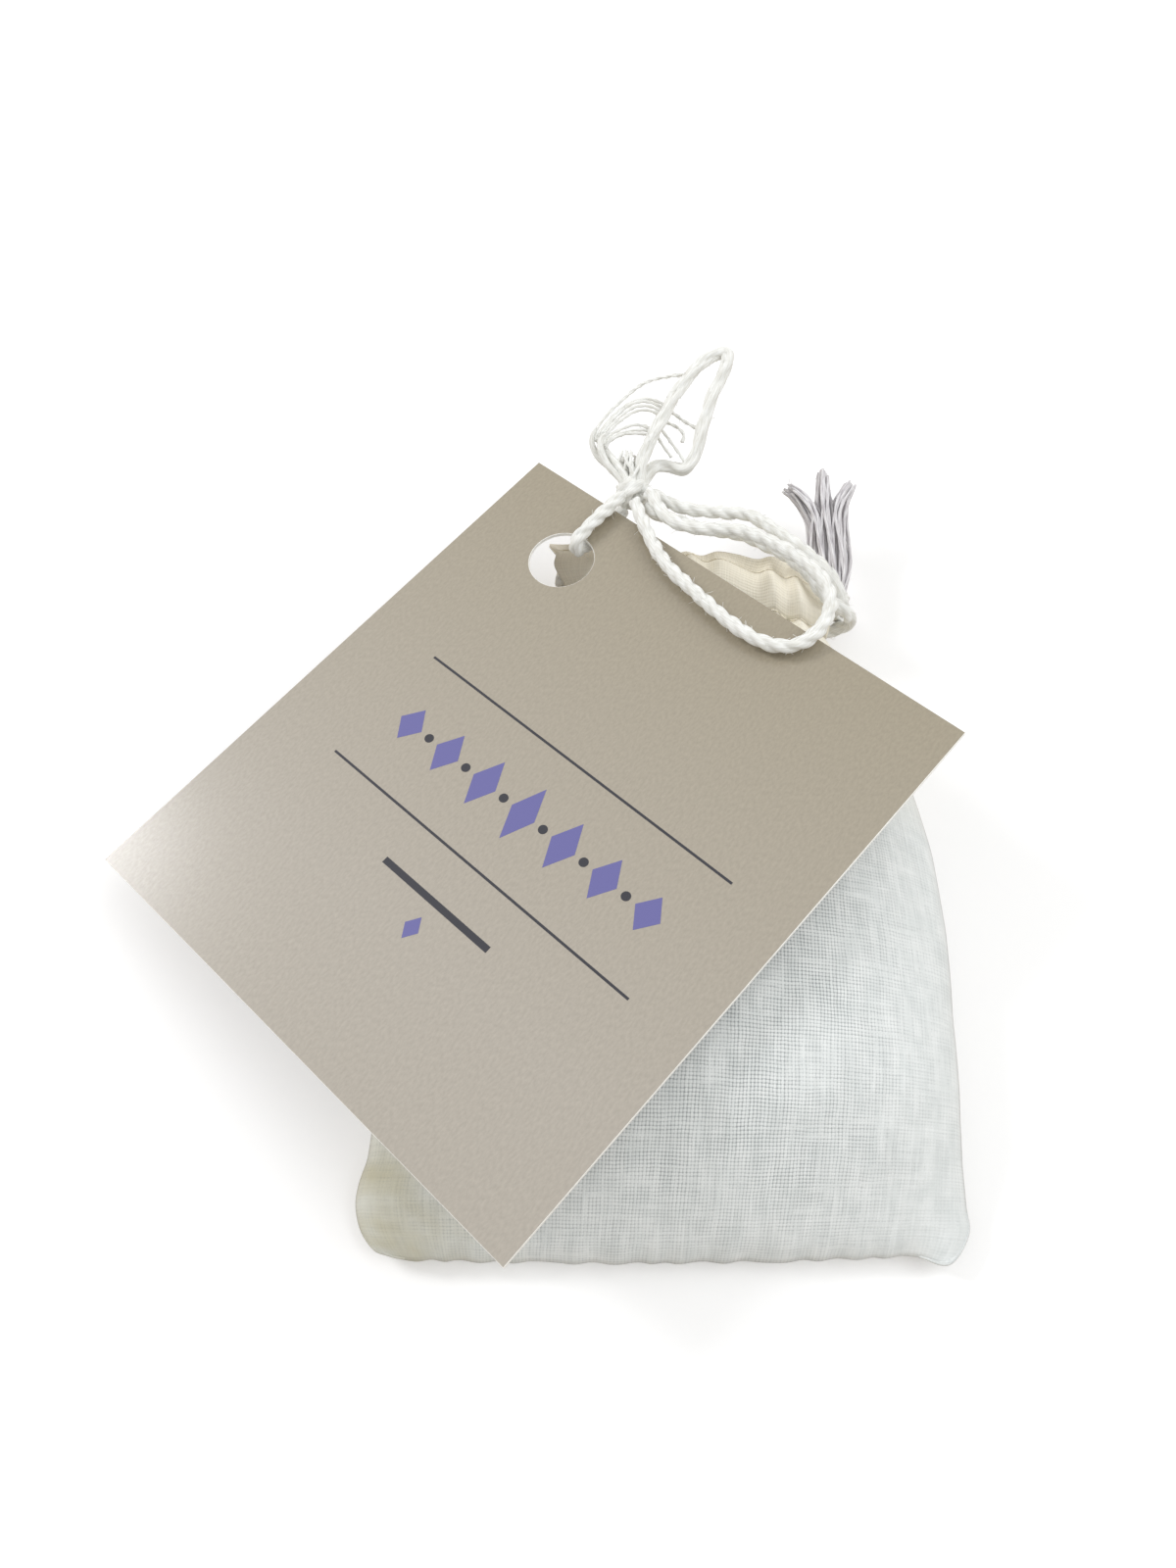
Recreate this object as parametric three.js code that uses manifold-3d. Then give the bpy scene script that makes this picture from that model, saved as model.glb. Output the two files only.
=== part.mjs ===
// Lavender sachet: a muslin drawstring bag, filled, tied and tagged, lying on its back.
// Millimetres, +Z up. The origin is the middle of the flat underside, and +Y runs along the bag to its neck.
import * as THREE from 'three';
import { mergeVertices } from 'three/addons/utils/BufferGeometryUtils.js';
import Module from 'manifold-3d';

const wasm = await Module();
wasm.setup();
const { lerp, smoothstep, degToRad } = THREE.MathUtils;

// Gap left between pieces that touch
const clearance = 0.3;

// Bag cloth: stations are measured along the bag from its bottom seam
const clothThickness = 0.6;
const bottomEdge = -42.5;
const bagLength = 75.5;
const hipStation = 9;
const bellyStation = 33;
const shoulderDrop = 12;
const bottomHalfWidth = 30.4;
const hipHalfWidth = 30.8;
const bellyHalfWidth = 30;
const shoulderHalfWidth = 24;
const neckHalfWidth = 16.4;
const bottomSeamHeight = 2.4;
const sideSeamHeight = 5.5;
const crownRise = 10.4;
const backDrop = 9;
const bottomPull = 1.2;
const bottomSkew = 0.06;
const neckSkew = -0.14;
const neckOffset = 1;

// How full the cloth stands: powers of the rounded sections
const crownFullness = 2.4;
const crownRoundness = 0.6;
const backFullness = 4;

// Gathers below the neck
const gatherCount = 5;
const gatherDepth = 0.7;
const gatherReach = 22;

// Cotton cord, and the hem channel that takes two runs of it side by side
const cordDiameter = 1.7;
const channelWall = 0.55;
const channelHalfWidth = 15;
const neckHalfDepth = 3.9;
const channelRidge = 0.4;
const channelTurn = 2.4;
const mouthReach = 0.6;
const boreDiameter = cordDiameter + 2 * clearance;
const cordPitch = cordDiameter + clearance;
const channelThickness = boreDiameter + 2 * channelWall;
const channelHeight = cordPitch + boreDiameter + 2 * channelWall;
const channelBase = bottomEdge + bagLength + clearance;
const channelMiddle = channelBase + channelHeight / 2;
const mouthHalfGap = channelThickness / 2 + clearance;
const neckHeight = neckHalfDepth + channelThickness / 2 + clearance;
const neckRise = neckHalfDepth + channelThickness / 2 - clearance;

// Heading ruffle above the channel
const ruffleHeight = 2.2;
const ruffleWave = 0.6;
const ruffleCount = 6;

// Filling of dried buds, which stops short of the neck
const neckEmpty = 9;

// Card tag: its frame has its origin at the top left corner, +X along the short side, +Y off the card
const tagWidth = 63.5;
const tagLength = 71.1;
const cardThickness = 0.5;
const holeDiameter = 8;
const holeFromSide = 12.9;
const holeFromTop = 9.5;
const tagCornerX = -20;
const tagCornerY = 49.7;
const tagYaw = degToRad(-38.7);
const tagPitch = degToRad(-7.0);
const tagRoll = degToRad(3.4);

// Tie knot, centred in the card's thickness just off the card's top edge
const knotRadius = 2.2;
const knotOffEdge = 3.4;
const knotWrapDiameter = 1.6;
const knotWrapTilt = degToRad(35);

// Frayed ends
const yarnDiameter = 0.7;
const plyDiameter = 1.1;
const tailKnotRadius = 1.8;

// Colours
const muslin = new THREE.MeshStandardMaterial({ color: '#e4e7e4', roughness: 0.95, metalness: 0 });
const cotton = new THREE.MeshStandardMaterial({ color: '#efeadc', roughness: 0.9, metalness: 0 });
const frayedCotton = new THREE.MeshStandardMaterial({ color: '#bdb6b8', roughness: 0.95, metalness: 0 });
const lavender = new THREE.MeshStandardMaterial({ color: '#6f6486', roughness: 1, metalness: 0 });
const card = new THREE.MeshStandardMaterial({ color: '#beb6aa', roughness: 0.6, metalness: 0 });

const sachet = new THREE.Group();

function addPiece(name, geometry, material, parent = sachet) {
  const piece = new THREE.Mesh(geometry, material);
  piece.name = name;
  parent.add(piece);
  return piece;
}

// Closed solid between two facing grids, each a function of two shares from 0 to 1
function slab(columns, rows, over, under) {
  const positions = [];
  const faces = [];
  const index = (layer, i, j) => (layer * (rows + 1) + j) * (columns + 1) + i;
  const quad = (a, b, c, d) => faces.push(a, b, c, a, c, d);
  for (const surface of [over, under]) {
    for (let j = 0; j <= rows; j += 1) {
      for (let i = 0; i <= columns; i += 1) positions.push(...surface(i / columns, j / rows));
    }
  }
  for (let j = 0; j < rows; j += 1) {
    for (let i = 0; i < columns; i += 1) {
      quad(index(0, i, j), index(0, i + 1, j), index(0, i + 1, j + 1), index(0, i, j + 1));
      quad(index(1, i, j), index(1, i, j + 1), index(1, i + 1, j + 1), index(1, i + 1, j));
    }
    quad(index(0, 0, j), index(0, 0, j + 1), index(1, 0, j + 1), index(1, 0, j));
    quad(index(0, columns, j), index(1, columns, j), index(1, columns, j + 1), index(0, columns, j + 1));
  }
  for (let i = 0; i < columns; i += 1) {
    quad(index(0, i, 0), index(1, i, 0), index(1, i + 1, 0), index(0, i + 1, 0));
    quad(index(0, i, rows), index(0, i + 1, rows), index(1, i + 1, rows), index(1, i, rows));
  }
  const geometry = new THREE.BufferGeometry();
  geometry.setAttribute('position', new THREE.Float32BufferAttribute(positions, 3));
  geometry.setIndex(faces);
  geometry.computeVertexNormals();
  return geometry;
}

// Round cord along a smooth route; a step is spacing diameters long
function tube(route, diameter, sides = 8, spacing = 1.5) {
  const path = new THREE.CatmullRomCurve3(route);
  const section = new THREE.Shape().absarc(0, 0, diameter / 2, 0, 2 * Math.PI);
  const steps = Math.max(6, Math.round(path.getLength() / (spacing * diameter)));
  return new THREE.ExtrudeGeometry(section, { steps, curveSegments: sides / 2, extrudePath: path });
}

function toSolid(geometry) {
  const bare = geometry.clone();
  bare.deleteAttribute('normal');
  bare.deleteAttribute('uv');
  const merged = mergeVertices(bare);
  const vertProperties = merged.attributes.position.array;
  const triVerts = new Uint32Array(merged.index.array);
  return new wasm.Manifold(new wasm.Mesh({ numProp: 3, vertProperties, triVerts }));
}

function toGeometry(body) {
  const mesh = body.getMesh();
  const geometry = new THREE.BufferGeometry();
  geometry.setAttribute('position', new THREE.BufferAttribute(mesh.vertProperties.slice(), 3));
  geometry.setIndex(new THREE.BufferAttribute(mesh.triVerts.slice(), 1));
  geometry.computeVertexNormals();
  return geometry;
}

// Side outline of the bag, from the bottom corners over hip, belly and shoulder to the neck
const outline = new THREE.CubicInterpolant(
  [0, hipStation, bellyStation, bagLength - shoulderDrop, bagLength],
  [bottomHalfWidth, hipHalfWidth, bellyHalfWidth, shoulderHalfWidth, neckHalfWidth],
  1,
);

// Height of the side seam: low at the bottom, and level with the channel's middle at the neck
function seamHeight(along) {
  const side = lerp(bottomSeamHeight, sideSeamHeight, smoothstep(along, 0, 2 * hipStation));
  return side + (neckHeight - sideSeamHeight) * smoothstep(along, bellyStation, bagLength);
}

function roundedStart(share) {
  return Math.pow(1 - Math.pow(1 - Math.min(share, 1), crownFullness), crownRoundness);
}

function crown(along) {
  if (along < bellyStation) return crownRise * roundedStart(along / bellyStation);
  const share = (along - bellyStation) / (bagLength - bellyStation);
  return lerp(crownRise, neckRise, 0.5 - 0.5 * Math.cos(Math.PI * share));
}

// Sideways lean of the bag's middle, and how far each row of cloth is slanted
const neckShare = (along) => smoothstep(along, bellyStation, bagLength);
const bottomShare = (along) => 1 - smoothstep(along, 0, bellyStation);

function clothPlan(across, along, inset) {
  const x = neckOffset * neckShare(along) + across * (outline.evaluate(along)[0] - inset);
  const slant = bottomSkew * bottomShare(along) + neckSkew * neckShare(along);
  const pull = bottomPull * (1 - across * across) * bottomShare(along);
  const y = bottomEdge + along + pull + slant * x + inset * (1 - smoothstep(along, 0, hipStation));
  return [x, y];
}

function frontPoint(across, along, inset) {
  const dome = Math.pow(1 - Math.pow(Math.abs(across), crownFullness), crownRoundness);
  const fold = Math.cos(Math.PI * gatherCount * across) * (1 - Math.pow(across, 8));
  const gather = gatherDepth * fold * smoothstep(along, bagLength - gatherReach, bagLength);
  const rise = Math.max(crown(along) - inset, 0) * dome + gather * dome;
  return [...clothPlan(across, along, inset), seamHeight(along) + clearance / 2 + rise];
}

// The back lies flat on the surface below, and rounds up to the seams
function backPoint(across, along, inset) {
  const dome = Math.pow(1 - Math.pow(Math.abs(across), backFullness), crownRoundness);
  const drop = Math.max(backDrop * roundedStart(along / bellyStation) - inset, 0) * dome;
  return [...clothPlan(across, along, inset), Math.max(inset, seamHeight(along) - clearance / 2 - drop)];
}

// Grid lines lie closer near the seams, where the cloth curves most
const spreadAcross = (share) => 0.55 * (2 * share - 1) + 0.45 * Math.sin(Math.PI * (share - 0.5));
const spreadAlong = (share, length) => length * Math.pow(share, 1.5);
const sheet = (point, inset, length) => (s, t) => point(spreadAcross(s), spreadAlong(t, length), inset);

const clothColumns = 28;
const clothRows = 18;
addPiece('front_panel', slab(clothColumns, clothRows,
  sheet(frontPoint, 0, bagLength), sheet(frontPoint, clothThickness, bagLength)), muslin);
addPiece('back_panel', slab(clothColumns, clothRows,
  sheet(backPoint, clothThickness, bagLength), sheet(backPoint, 0, bagLength)), muslin);

// Filling, inside the cloth with clearance all round
const fillInset = clothThickness + clearance;
const fillLength = bagLength - neckEmpty;
addPiece('lavender_filling', slab(16, 12,
  sheet(frontPoint, fillInset, fillLength), sheet(backPoint, fillInset, fillLength)), lavender);

// Middle of the hem channel: across runs from the left mouth, -1, to the right mouth, 1
function channelArch(across) {
  return mouthHalfGap + (neckHalfDepth - mouthHalfGap) * (1 - Math.pow(Math.abs(across), 3));
}

function channelPoint(across, side, offset) {
  const x = neckOffset + channelHalfWidth * across;
  return new THREE.Vector3(x, channelMiddle + offset + neckSkew * x, neckHeight + side * channelArch(across));
}

// Bore of one cord run, long enough to leave the channel at both mouths
function channelBore(side, offset) {
  const route = [];
  for (let across = 1.2; across > -1.3; across -= 0.2) route.push(channelPoint(across, side, offset));
  return toSolid(tube(route, boreDiameter / Math.cos(Math.PI / 8)));
}

function channelHalf(side) {
  const face = (facing) => (s, t) => {
    const across = 2 * s - 1;
    const edge = 2 * t - 1;
    const centre = channelPoint(across, side, edge * channelHeight / 2);
    const ridge = side * facing > 0 && side > 0 ? channelRidge * (0.5 + 0.5 * Math.cos(Math.PI * 8 * across)) : 0;
    const half = channelThickness / 2 - clearance * Math.pow(edge, 4) + ridge;
    return [centre.x, centre.y, centre.z + facing * half];
  };
  const band = toSolid(slab(24, 4, face(1), face(-1)));
  return toGeometry(band.subtract(channelBore(side, -cordPitch / 2)).subtract(channelBore(side, cordPitch / 2)));
}

addPiece('front_hem_channel', channelHalf(1), muslin);
addPiece('back_hem_channel', channelHalf(-1), muslin);

// Heading ruffle, a waved strip on each half of the channel
function ruffle(side) {
  const base = channelHeight / 2 + clearance;
  const face = (facing) => (s, t) => {
    const across = 2 * s - 1;
    const mid = channelPoint(across, side, base + t * ruffleHeight);
    const wave = ruffleWave * (0.3 + 0.7 * t) * Math.cos(Math.PI * 2 * ruffleCount * across);
    return [mid.x, mid.y, mid.z + wave + facing * clothThickness / 2];
  };
  return slab(48, 2, face(1), face(-1));
}

addPiece('front_ruffle', ruffle(1), muslin);
addPiece('back_ruffle', ruffle(-1), muslin);

// Gathering run of a drawstring: through the front half, round the left end and back through the back half
function gatherRoute(offset) {
  const front = [];
  const back = [];
  for (let i = 0; i <= 8; i += 1) front.push(channelPoint(1 - i / 4, 1, offset));
  for (let i = 0; i <= 8; i += 1) back.push(channelPoint(i / 4 - 1, -1, offset));
  const turn = front.at(-1).clone().lerp(back[0], 0.5).add(new THREE.Vector3(-channelTurn, 0, 0));
  const reach = new THREE.Vector3(mouthReach, 0, 0);
  return [front[0].clone().add(reach), ...front, turn, ...back, back.at(-1).clone().add(reach)];
}

const tiedRun = gatherRoute(-cordPitch / 2);
const tailRun = gatherRoute(cordPitch / 2);
addPiece('tied_drawstring', tube(tiedRun, cordDiameter, 8, 2), cotton);
addPiece('tail_drawstring', tube(tailRun, cordDiameter, 8, 2), cotton);

// The tag lies on the bag: its height is the least at which the card clears the cloth
const tagFrame = new THREE.Group();
tagFrame.rotation.set(tagRoll, tagPitch, tagYaw, 'ZYX');
tagFrame.position.set(tagCornerX, tagCornerY, 0);
tagFrame.updateMatrixWorld();
const tagNormal = new THREE.Vector3(0, 0, 1).transformDirection(tagFrame.matrixWorld);

function clothAboveTag() {
  let highest = -Infinity;
  for (let i = 0; i <= clothColumns; i += 1) {
    for (let j = 0; j <= clothRows; j += 1) {
      const point = new THREE.Vector3(...sheet(frontPoint, 0, bagLength)(i / clothColumns, j / clothRows));
      const onTag = tagFrame.worldToLocal(point);
      if (onTag.x > 0 && onTag.x < tagWidth && onTag.y < 0 && onTag.y > -tagLength) highest = Math.max(highest, onTag.z);
    }
  }
  return highest;
}

tagFrame.position.z = (clothAboveTag() + clearance + cardThickness) / tagNormal.z;
tagFrame.updateMatrixWorld();
sachet.add(tagFrame);

const tagOutline = new THREE.Shape();
tagOutline.moveTo(0, 0).lineTo(0, -tagLength).lineTo(tagWidth, -tagLength).lineTo(tagWidth, 0).closePath();
const tagHole = new THREE.Path().absarc(holeFromSide, -holeFromTop, holeDiameter / 2, 0, 2 * Math.PI, true);
tagOutline.holes.push(tagHole);
const tagCard = new THREE.ExtrudeGeometry(tagOutline, { depth: cardThickness, curveSegments: 16, bevelEnabled: false });
tagCard.translate(0, 0, -cardThickness);
addPiece('tag_card', tagCard, card, tagFrame);

// Tie knot: two crossed wraps of cord round a core, all inside the knot's radius
const knotInTag = new THREE.Vector3(holeFromSide, knotOffEdge, -cardThickness / 2);
const knotAt = tagFrame.localToWorld(knotInTag.clone());

function wrappedKnot(radius) {
  const wrap = knotWrapDiameter / 2;
  let knot = toSolid(new THREE.SphereGeometry(radius - wrap / 2, 16, 10));
  for (const tilt of [knotWrapTilt, -knotWrapTilt]) {
    const turn = new THREE.TorusGeometry(radius - wrap, wrap, 8, 20);
    turn.rotateX(Math.PI / 2 + tilt);
    knot = knot.add(toSolid(turn));
  }
  return toGeometry(knot);
}

const tieKnot = addPiece('tie_knot', wrappedKnot(knotRadius), cotton, tagFrame);
tieKnot.position.copy(knotInTag);

// Tie: from the knot over the card's edge, down through the hole and back under the edge to the knot
const tieRise = cordDiameter / 2 + clearance;
const tieEndY = knotOffEdge - knotRadius - clearance;
const tieTurnY = holeDiameter / 2 - holeFromTop - tieRise;
const tieTop = tieRise;
const tieUnder = -cardThickness - tieRise;
const tieRoute = [
  new THREE.Vector3(holeFromSide, tieEndY, tieTop),
  new THREE.Vector3(holeFromSide, lerp(tieEndY, tieTurnY, 0.3), tieTop),
  new THREE.Vector3(holeFromSide, lerp(tieEndY, tieTurnY, 0.75), tieTop),
  new THREE.Vector3(holeFromSide, tieTurnY - 0.1, tieTop * 0.5),
  new THREE.Vector3(holeFromSide, tieTurnY - 0.3, -cardThickness / 2),
  new THREE.Vector3(holeFromSide, tieTurnY - 0.1, lerp(tieUnder, -cardThickness, 0.5)),
  new THREE.Vector3(holeFromSide, lerp(tieEndY, tieTurnY, 0.75), tieUnder),
  new THREE.Vector3(holeFromSide, lerp(tieEndY, tieTurnY, 0.3), tieUnder),
  new THREE.Vector3(holeFromSide, tieEndY, tieUnder),
];
addPiece('tag_tie', tube(tieRoute, cordDiameter, 8, 0.8), cotton, tagFrame);

// Bow loop: route over the card in the tag's frame, out of the knot's right side and back into it
const loopRoute = [
  [15.8, 1.3, 1.2], [17.4, 0.3, 1.3], [19.4, -0.9, 1.3], [22.2, -2.3, 1.3], [25.1, -3.3, 1.3], [28.4, -3.9, 1.3],
  [32.2, -4.5, 1.3], [35.6, -4.9, 1.3], [38.8, -4.9, 1.3], [41.4, -4.2, 1.3], [43.0, -2.9, 1.3], [43.8, -0.9, 1.3],
  [43.7, 1.6, 1.3], [42.7, 4.0, 1.3], [40.8, 5.7, 1.3], [38.2, 6.6, 1.3], [35.2, 6.9, 1.3], [32.1, 6.8, 1.3],
  [29.3, 6.3, 1.3], [26.8, 5.2, 1.4], [23.9, 3.2, 1.4], [21.2, 2.3, 1.4], [18.9, 2.5, 1.3],
  [17.2, 3.2, 1.3], [16.2, 3.8, 1.2],
].map((point) => new THREE.Vector3(...point));
addPiece('bow_loop', tube(loopRoute, cordDiameter, 8, 2), cotton, tagFrame);

// Free stretches round the knot: points are offsets from the knot, along the row's axes
const fromKnot = (points) => points.map((point) => new THREE.Vector3(...point).add(knotAt));
const fromRoot = (points) => points.map((point) => new THREE.Vector3(...point));
const strandStart = new THREE.Vector3(mouthReach + clearance + cordDiameter / 4, 0, 0);

const upperStrand = [
  channelPoint(1, 1, -cordPitch / 2).add(strandStart),
  ...fromRoot([[18.4, 33.9, 9.0], [17.9, 35.3, 10.9], [15.6, 37.4, 12.2], [12.7, 39.6, 12.8], [9.7, 41.8, 12.9]]),
  ...fromKnot([[14.7, -0.8, -1.9], [11.5, -0.6, -1.9], [8.2, -0.5, -1.9], [5.1, 0.3, -2.0], [3.0, 1.0, -1.5]]),
];
const lowerStrand = [
  channelPoint(1, -1, -cordPitch / 2).add(strandStart),
  ...fromRoot([[19.0, 33.0, 4.6], [20.3, 32.7, 6.8], [19.2, 32.3, 9.6], [16.6, 33.2, 11.2], [14.0, 36.1, 12.2]]),
  ...fromRoot([[11.9, 37.7, 12.6], [9.3, 39.0, 12.9], [7.1, 40.1, 12.9], [4.4, 40.9, 12.8]]),
  ...fromKnot([[8.3, -2.9, -2.2], [5.8, -1.9, -2.4], [3.4, -0.9, -2.6], [1.7, -0.5, -2.6]]),
];
addPiece('upper_tie_strand', tube(upperStrand, cordDiameter, 8, 2), cotton);
addPiece('lower_tie_strand', tube(lowerStrand, cordDiameter, 8, 2), cotton);

const longBowEnd = fromKnot([
  [0.1, 3.0, 0.2], [0.1, 4.4, 0.9], [0.4, 6.6, 1.8], [2.0, 9.2, 2.8], [4.2, 13.2, 3.9], [7.1, 16.5, 4.9],
  [9.4, 18.4, 5.5], [10.8, 17.5, 5.5], [10.3, 14.5, 4.9], [9.0, 11.4, 3.9], [8.5, 8.4, 2.6], [7.9, 5.6, 1.0],
  [6.9, 4.1, -0.1], [5.0, 4.4, -0.6], [3.2, 4.0, -0.9], [1.9, 2.8, -0.9],
]);
const shortBowEnd = fromKnot([
  [-1.4, 2.7, -0.4], [-3.8, 5.0, 0.2], [-5.7, 6.9, 0.9], [-6.3, 8.5, 1.7], [-5.1, 10.1, 2.5], [-3.1, 11.5, 3.3],
  [-0.6, 12.5, 3.6],
]);
addPiece('long_bow_end', tube(longBowEnd, cordDiameter, 8, 1.6), cotton);
addPiece('short_bow_end', tube(shortBowEnd, cordDiameter, 8, 1.6), cotton);

// Yarns that have come out of the short end and hang behind the long one
const yarnRoutes = [
  [[0.6, 13.2, 2.2], [2.4, 11.6, 1.2], [3.6, 9.4, 0.4], [4.2, 7.2, -0.2]],
  [[0.7, 11.9, 2.2], [1.6, 10.4, 1.0], [2.5, 8.6, 0.2], [2.8, 6.6, -0.2]],
  [[-4.4, 11.4, 4.6], [-2.4, 13.4, 4.9], [0.6, 14.6, 5.2], [3.2, 15.6, 5.8]],
];
yarnRoutes.forEach((route, i) => {
  addPiece(`loose_yarn_${i + 1}`, tube(fromKnot(route), yarnDiameter, 6, 2.5), cotton);
});

// Stopper knot of the second drawstring at the right mouth, and its end frayed into three plies
const tailKnotAt = channelPoint(1, 1, cordPitch / 2).lerp(channelPoint(1, -1, cordPitch / 2), 0.5);
tailKnotAt.add(new THREE.Vector3(mouthReach + tailKnotRadius + clearance, cordPitch / 2, 0));
const tailKnot = addPiece('tail_knot', wrappedKnot(tailKnotRadius), cotton);
tailKnot.position.copy(tailKnotAt);

const plyRoutes = [
  [
    [-1.3, 2.0, 0.3], [-1.9, 5.0, 0.8], [-2.4, 8.0, 1.3], [-2.9, 11.6, 2.0], [-3.8, 13.5, 2.3], [-5.2, 14.9, 2.6],
    [-6.8, 15.9, 2.9],
  ],
  [[0, 2.3, 0.2], [-0.5, 5.0, 0.8], [-0.9, 8.0, 1.3], [-1.4, 12.0, 2.0], [-1.8, 15.5, 2.6], [-1.9, 18.6, 3.1]],
  [
    [1.3, 2.0, 0.3], [0.9, 5.0, 0.8], [0.6, 8.0, 1.3], [0.1, 12.0, 2.0], [0.5, 14.4, 2.4], [1.3, 16.2, 2.7],
    [1.8, 17.4, 2.9],
  ],
];
plyRoutes.forEach((route, i) => {
  const points = route.map((point) => new THREE.Vector3(...point).add(tailKnotAt));
  addPiece(`tail_ply_${i + 1}`, tube(points, plyDiameter, 6, 2.5), frayedCotton);
});

export default sachet;
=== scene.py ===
"""Lavender sachet: a filled muslin drawstring bag with its cord tied through a card tag."""

import math
import random

import bpy
import numpy as np
from mathutils import Euler, Matrix, Vector, noise


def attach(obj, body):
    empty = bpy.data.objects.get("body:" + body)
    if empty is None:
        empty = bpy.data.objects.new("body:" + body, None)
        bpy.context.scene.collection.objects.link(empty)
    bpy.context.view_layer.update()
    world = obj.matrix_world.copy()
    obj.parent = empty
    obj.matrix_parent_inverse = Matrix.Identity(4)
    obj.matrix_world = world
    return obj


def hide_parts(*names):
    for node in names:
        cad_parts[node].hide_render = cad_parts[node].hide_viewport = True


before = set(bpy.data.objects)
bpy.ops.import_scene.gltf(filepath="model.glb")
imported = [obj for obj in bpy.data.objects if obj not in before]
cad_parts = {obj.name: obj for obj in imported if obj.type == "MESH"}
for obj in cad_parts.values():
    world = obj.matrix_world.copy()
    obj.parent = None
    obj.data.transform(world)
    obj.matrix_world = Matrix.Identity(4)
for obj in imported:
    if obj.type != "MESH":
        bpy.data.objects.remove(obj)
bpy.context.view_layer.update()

# Studio: a floor that looks white and keeps the sachet's shadow but throws a slightly warm light back up. Two
# soft lamps, a large one on the right and a small one on the left, light it to a level where a colour renders
# about as it is written. The camera looks down over the bag's bottom edge.
CAMERA_PLACE = (-0.00672, -0.0507, 0.1333)
CAMERA_TURN = (math.radians(25), 0, math.radians(4))
CAMERA_LENS = 27.34
NEAREST_SEEN = 0.005
FLOOR_SIZE = 8.0
FLOOR_FADE = (0.06, 0.4)
FLOOR_GLOW = 0.16
ROOM_LIGHT = 0.68
LAMPS = (
    ("right_lamp", (0.44, 0.10, 0.54), (0, 0, 0), 0.6, 2.1, "#f7fbff"),
    ("left_lamp", (-0.56, 0.225, 0.443), (-0.064, 0.005, 0.012), 0.2, 2.1, "#fbfcff"),
)


def linear(code):
    """An sRGB hex colour as linear red, green, blue and alpha."""
    parts = [int(code[i:i + 2], 16) / 255 for i in (1, 3, 5)]
    return (*[p / 12.92 if p <= 0.04045 else ((p + 0.055) / 1.055) ** 2.4 for p in parts], 1.0)


def node(tree, kind, inputs=None, out=0, **settings):
    """Adds a node and returns one of its outputs, or all of them for out=None. Each input is a plain value or
    the socket that it is linked from."""
    made = tree.nodes.new("ShaderNode" + kind)
    for name, value in settings.items():
        setattr(made, name, value)
    for key, value in (inputs or {}).items():
        if isinstance(value, bpy.types.NodeSocket):
            tree.links.new(value, made.inputs[key])
        else:
            made.inputs[key].default_value = value
    return made.outputs if out is None else made.outputs[out]


def new_material(name, finish):
    """A material, its node tree and its shader, whose plain sockets take the values of the finish."""
    made = bpy.data.materials.new(name)
    made.use_nodes = True
    shader = made.node_tree.nodes["Principled BSDF"]
    for socket, value in finish.items():
        shader.inputs[socket].default_value = value
    return made, made.node_tree, shader


scene = bpy.context.scene
scene.view_settings.view_transform = "Standard"
camera_data = bpy.data.cameras.new("camera")
camera_data.lens = CAMERA_LENS
camera_data.clip_start = NEAREST_SEEN
camera = bpy.data.objects.new("camera", camera_data)
camera.location = CAMERA_PLACE
camera.rotation_euler = CAMERA_TURN
scene.collection.objects.link(camera)
scene.camera = camera

for name, place, target, size, power, colour in LAMPS:
    lamp_data = bpy.data.lights.new(name, "AREA")
    lamp_data.size = size
    lamp_data.energy = power
    lamp_data.color = linear(colour)[:3]
    lamp = bpy.data.objects.new(name, lamp_data)
    lamp.location = place
    lamp.rotation_euler = (Vector(target) - Vector(place)).to_track_quat("-Z", "Y").to_euler()
    scene.collection.objects.link(lamp)

world = bpy.data.worlds.new("white_room")
world.use_nodes = True
scene.world = world
tree = world.node_tree
ray = node(tree, "LightPath", out=None)
seen = ray["Is Camera Ray"]
for kind in ("Is Glossy Ray", "Is Transmission Ray"):
    seen = node(tree, "Math", {0: seen, 1: ray[kind]}, operation="MAXIMUM")
room = node(tree, "MapRange", {"Value": seen, "To Min": ROOM_LIGHT, "To Max": 1.0})
shade = node(tree, "Mix", {0: seen, 6: linear("#fefcf9"), 7: linear("#ffffff")}, 2, data_type="RGBA")
background = tree.nodes["Background"]
tree.links.new(shade, background.inputs["Color"])
tree.links.new(room, background.inputs["Strength"])

bpy.ops.mesh.primitive_plane_add(size=FLOOR_SIZE)
floor = bpy.context.object
floor.name = "floor"
paint, tree, _ = new_material("white_floor_paint", {})
seen = node(tree, "LightPath", out="Is Camera Ray")
shade = node(tree, "Mix", {0: seen, 6: linear("#d0c9c0"), 7: linear("#f4f4f4")}, 2, data_type="RGBA")
matt = node(tree, "BsdfDiffuse", {"Color": shade})
place = node(tree, "TexCoord", out="Object")
away = node(tree, "VectorMath", {0: place}, "Value", operation="LENGTH")
white = {"Value": away, "From Min": FLOOR_FADE[0], "From Max": FLOOR_FADE[1], "To Min": FLOOR_GLOW}
white = node(tree, "MapRange", white)
glow = node(tree, "Math", {0: seen, 1: white}, operation="MULTIPLY")
lift = node(tree, "Emission", {"Strength": glow})
both = node(tree, "AddShader", {0: matt, 1: lift})
tree.links.new(both, tree.nodes["Material Output"].inputs["Surface"])
floor.data.materials.append(paint)

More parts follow.
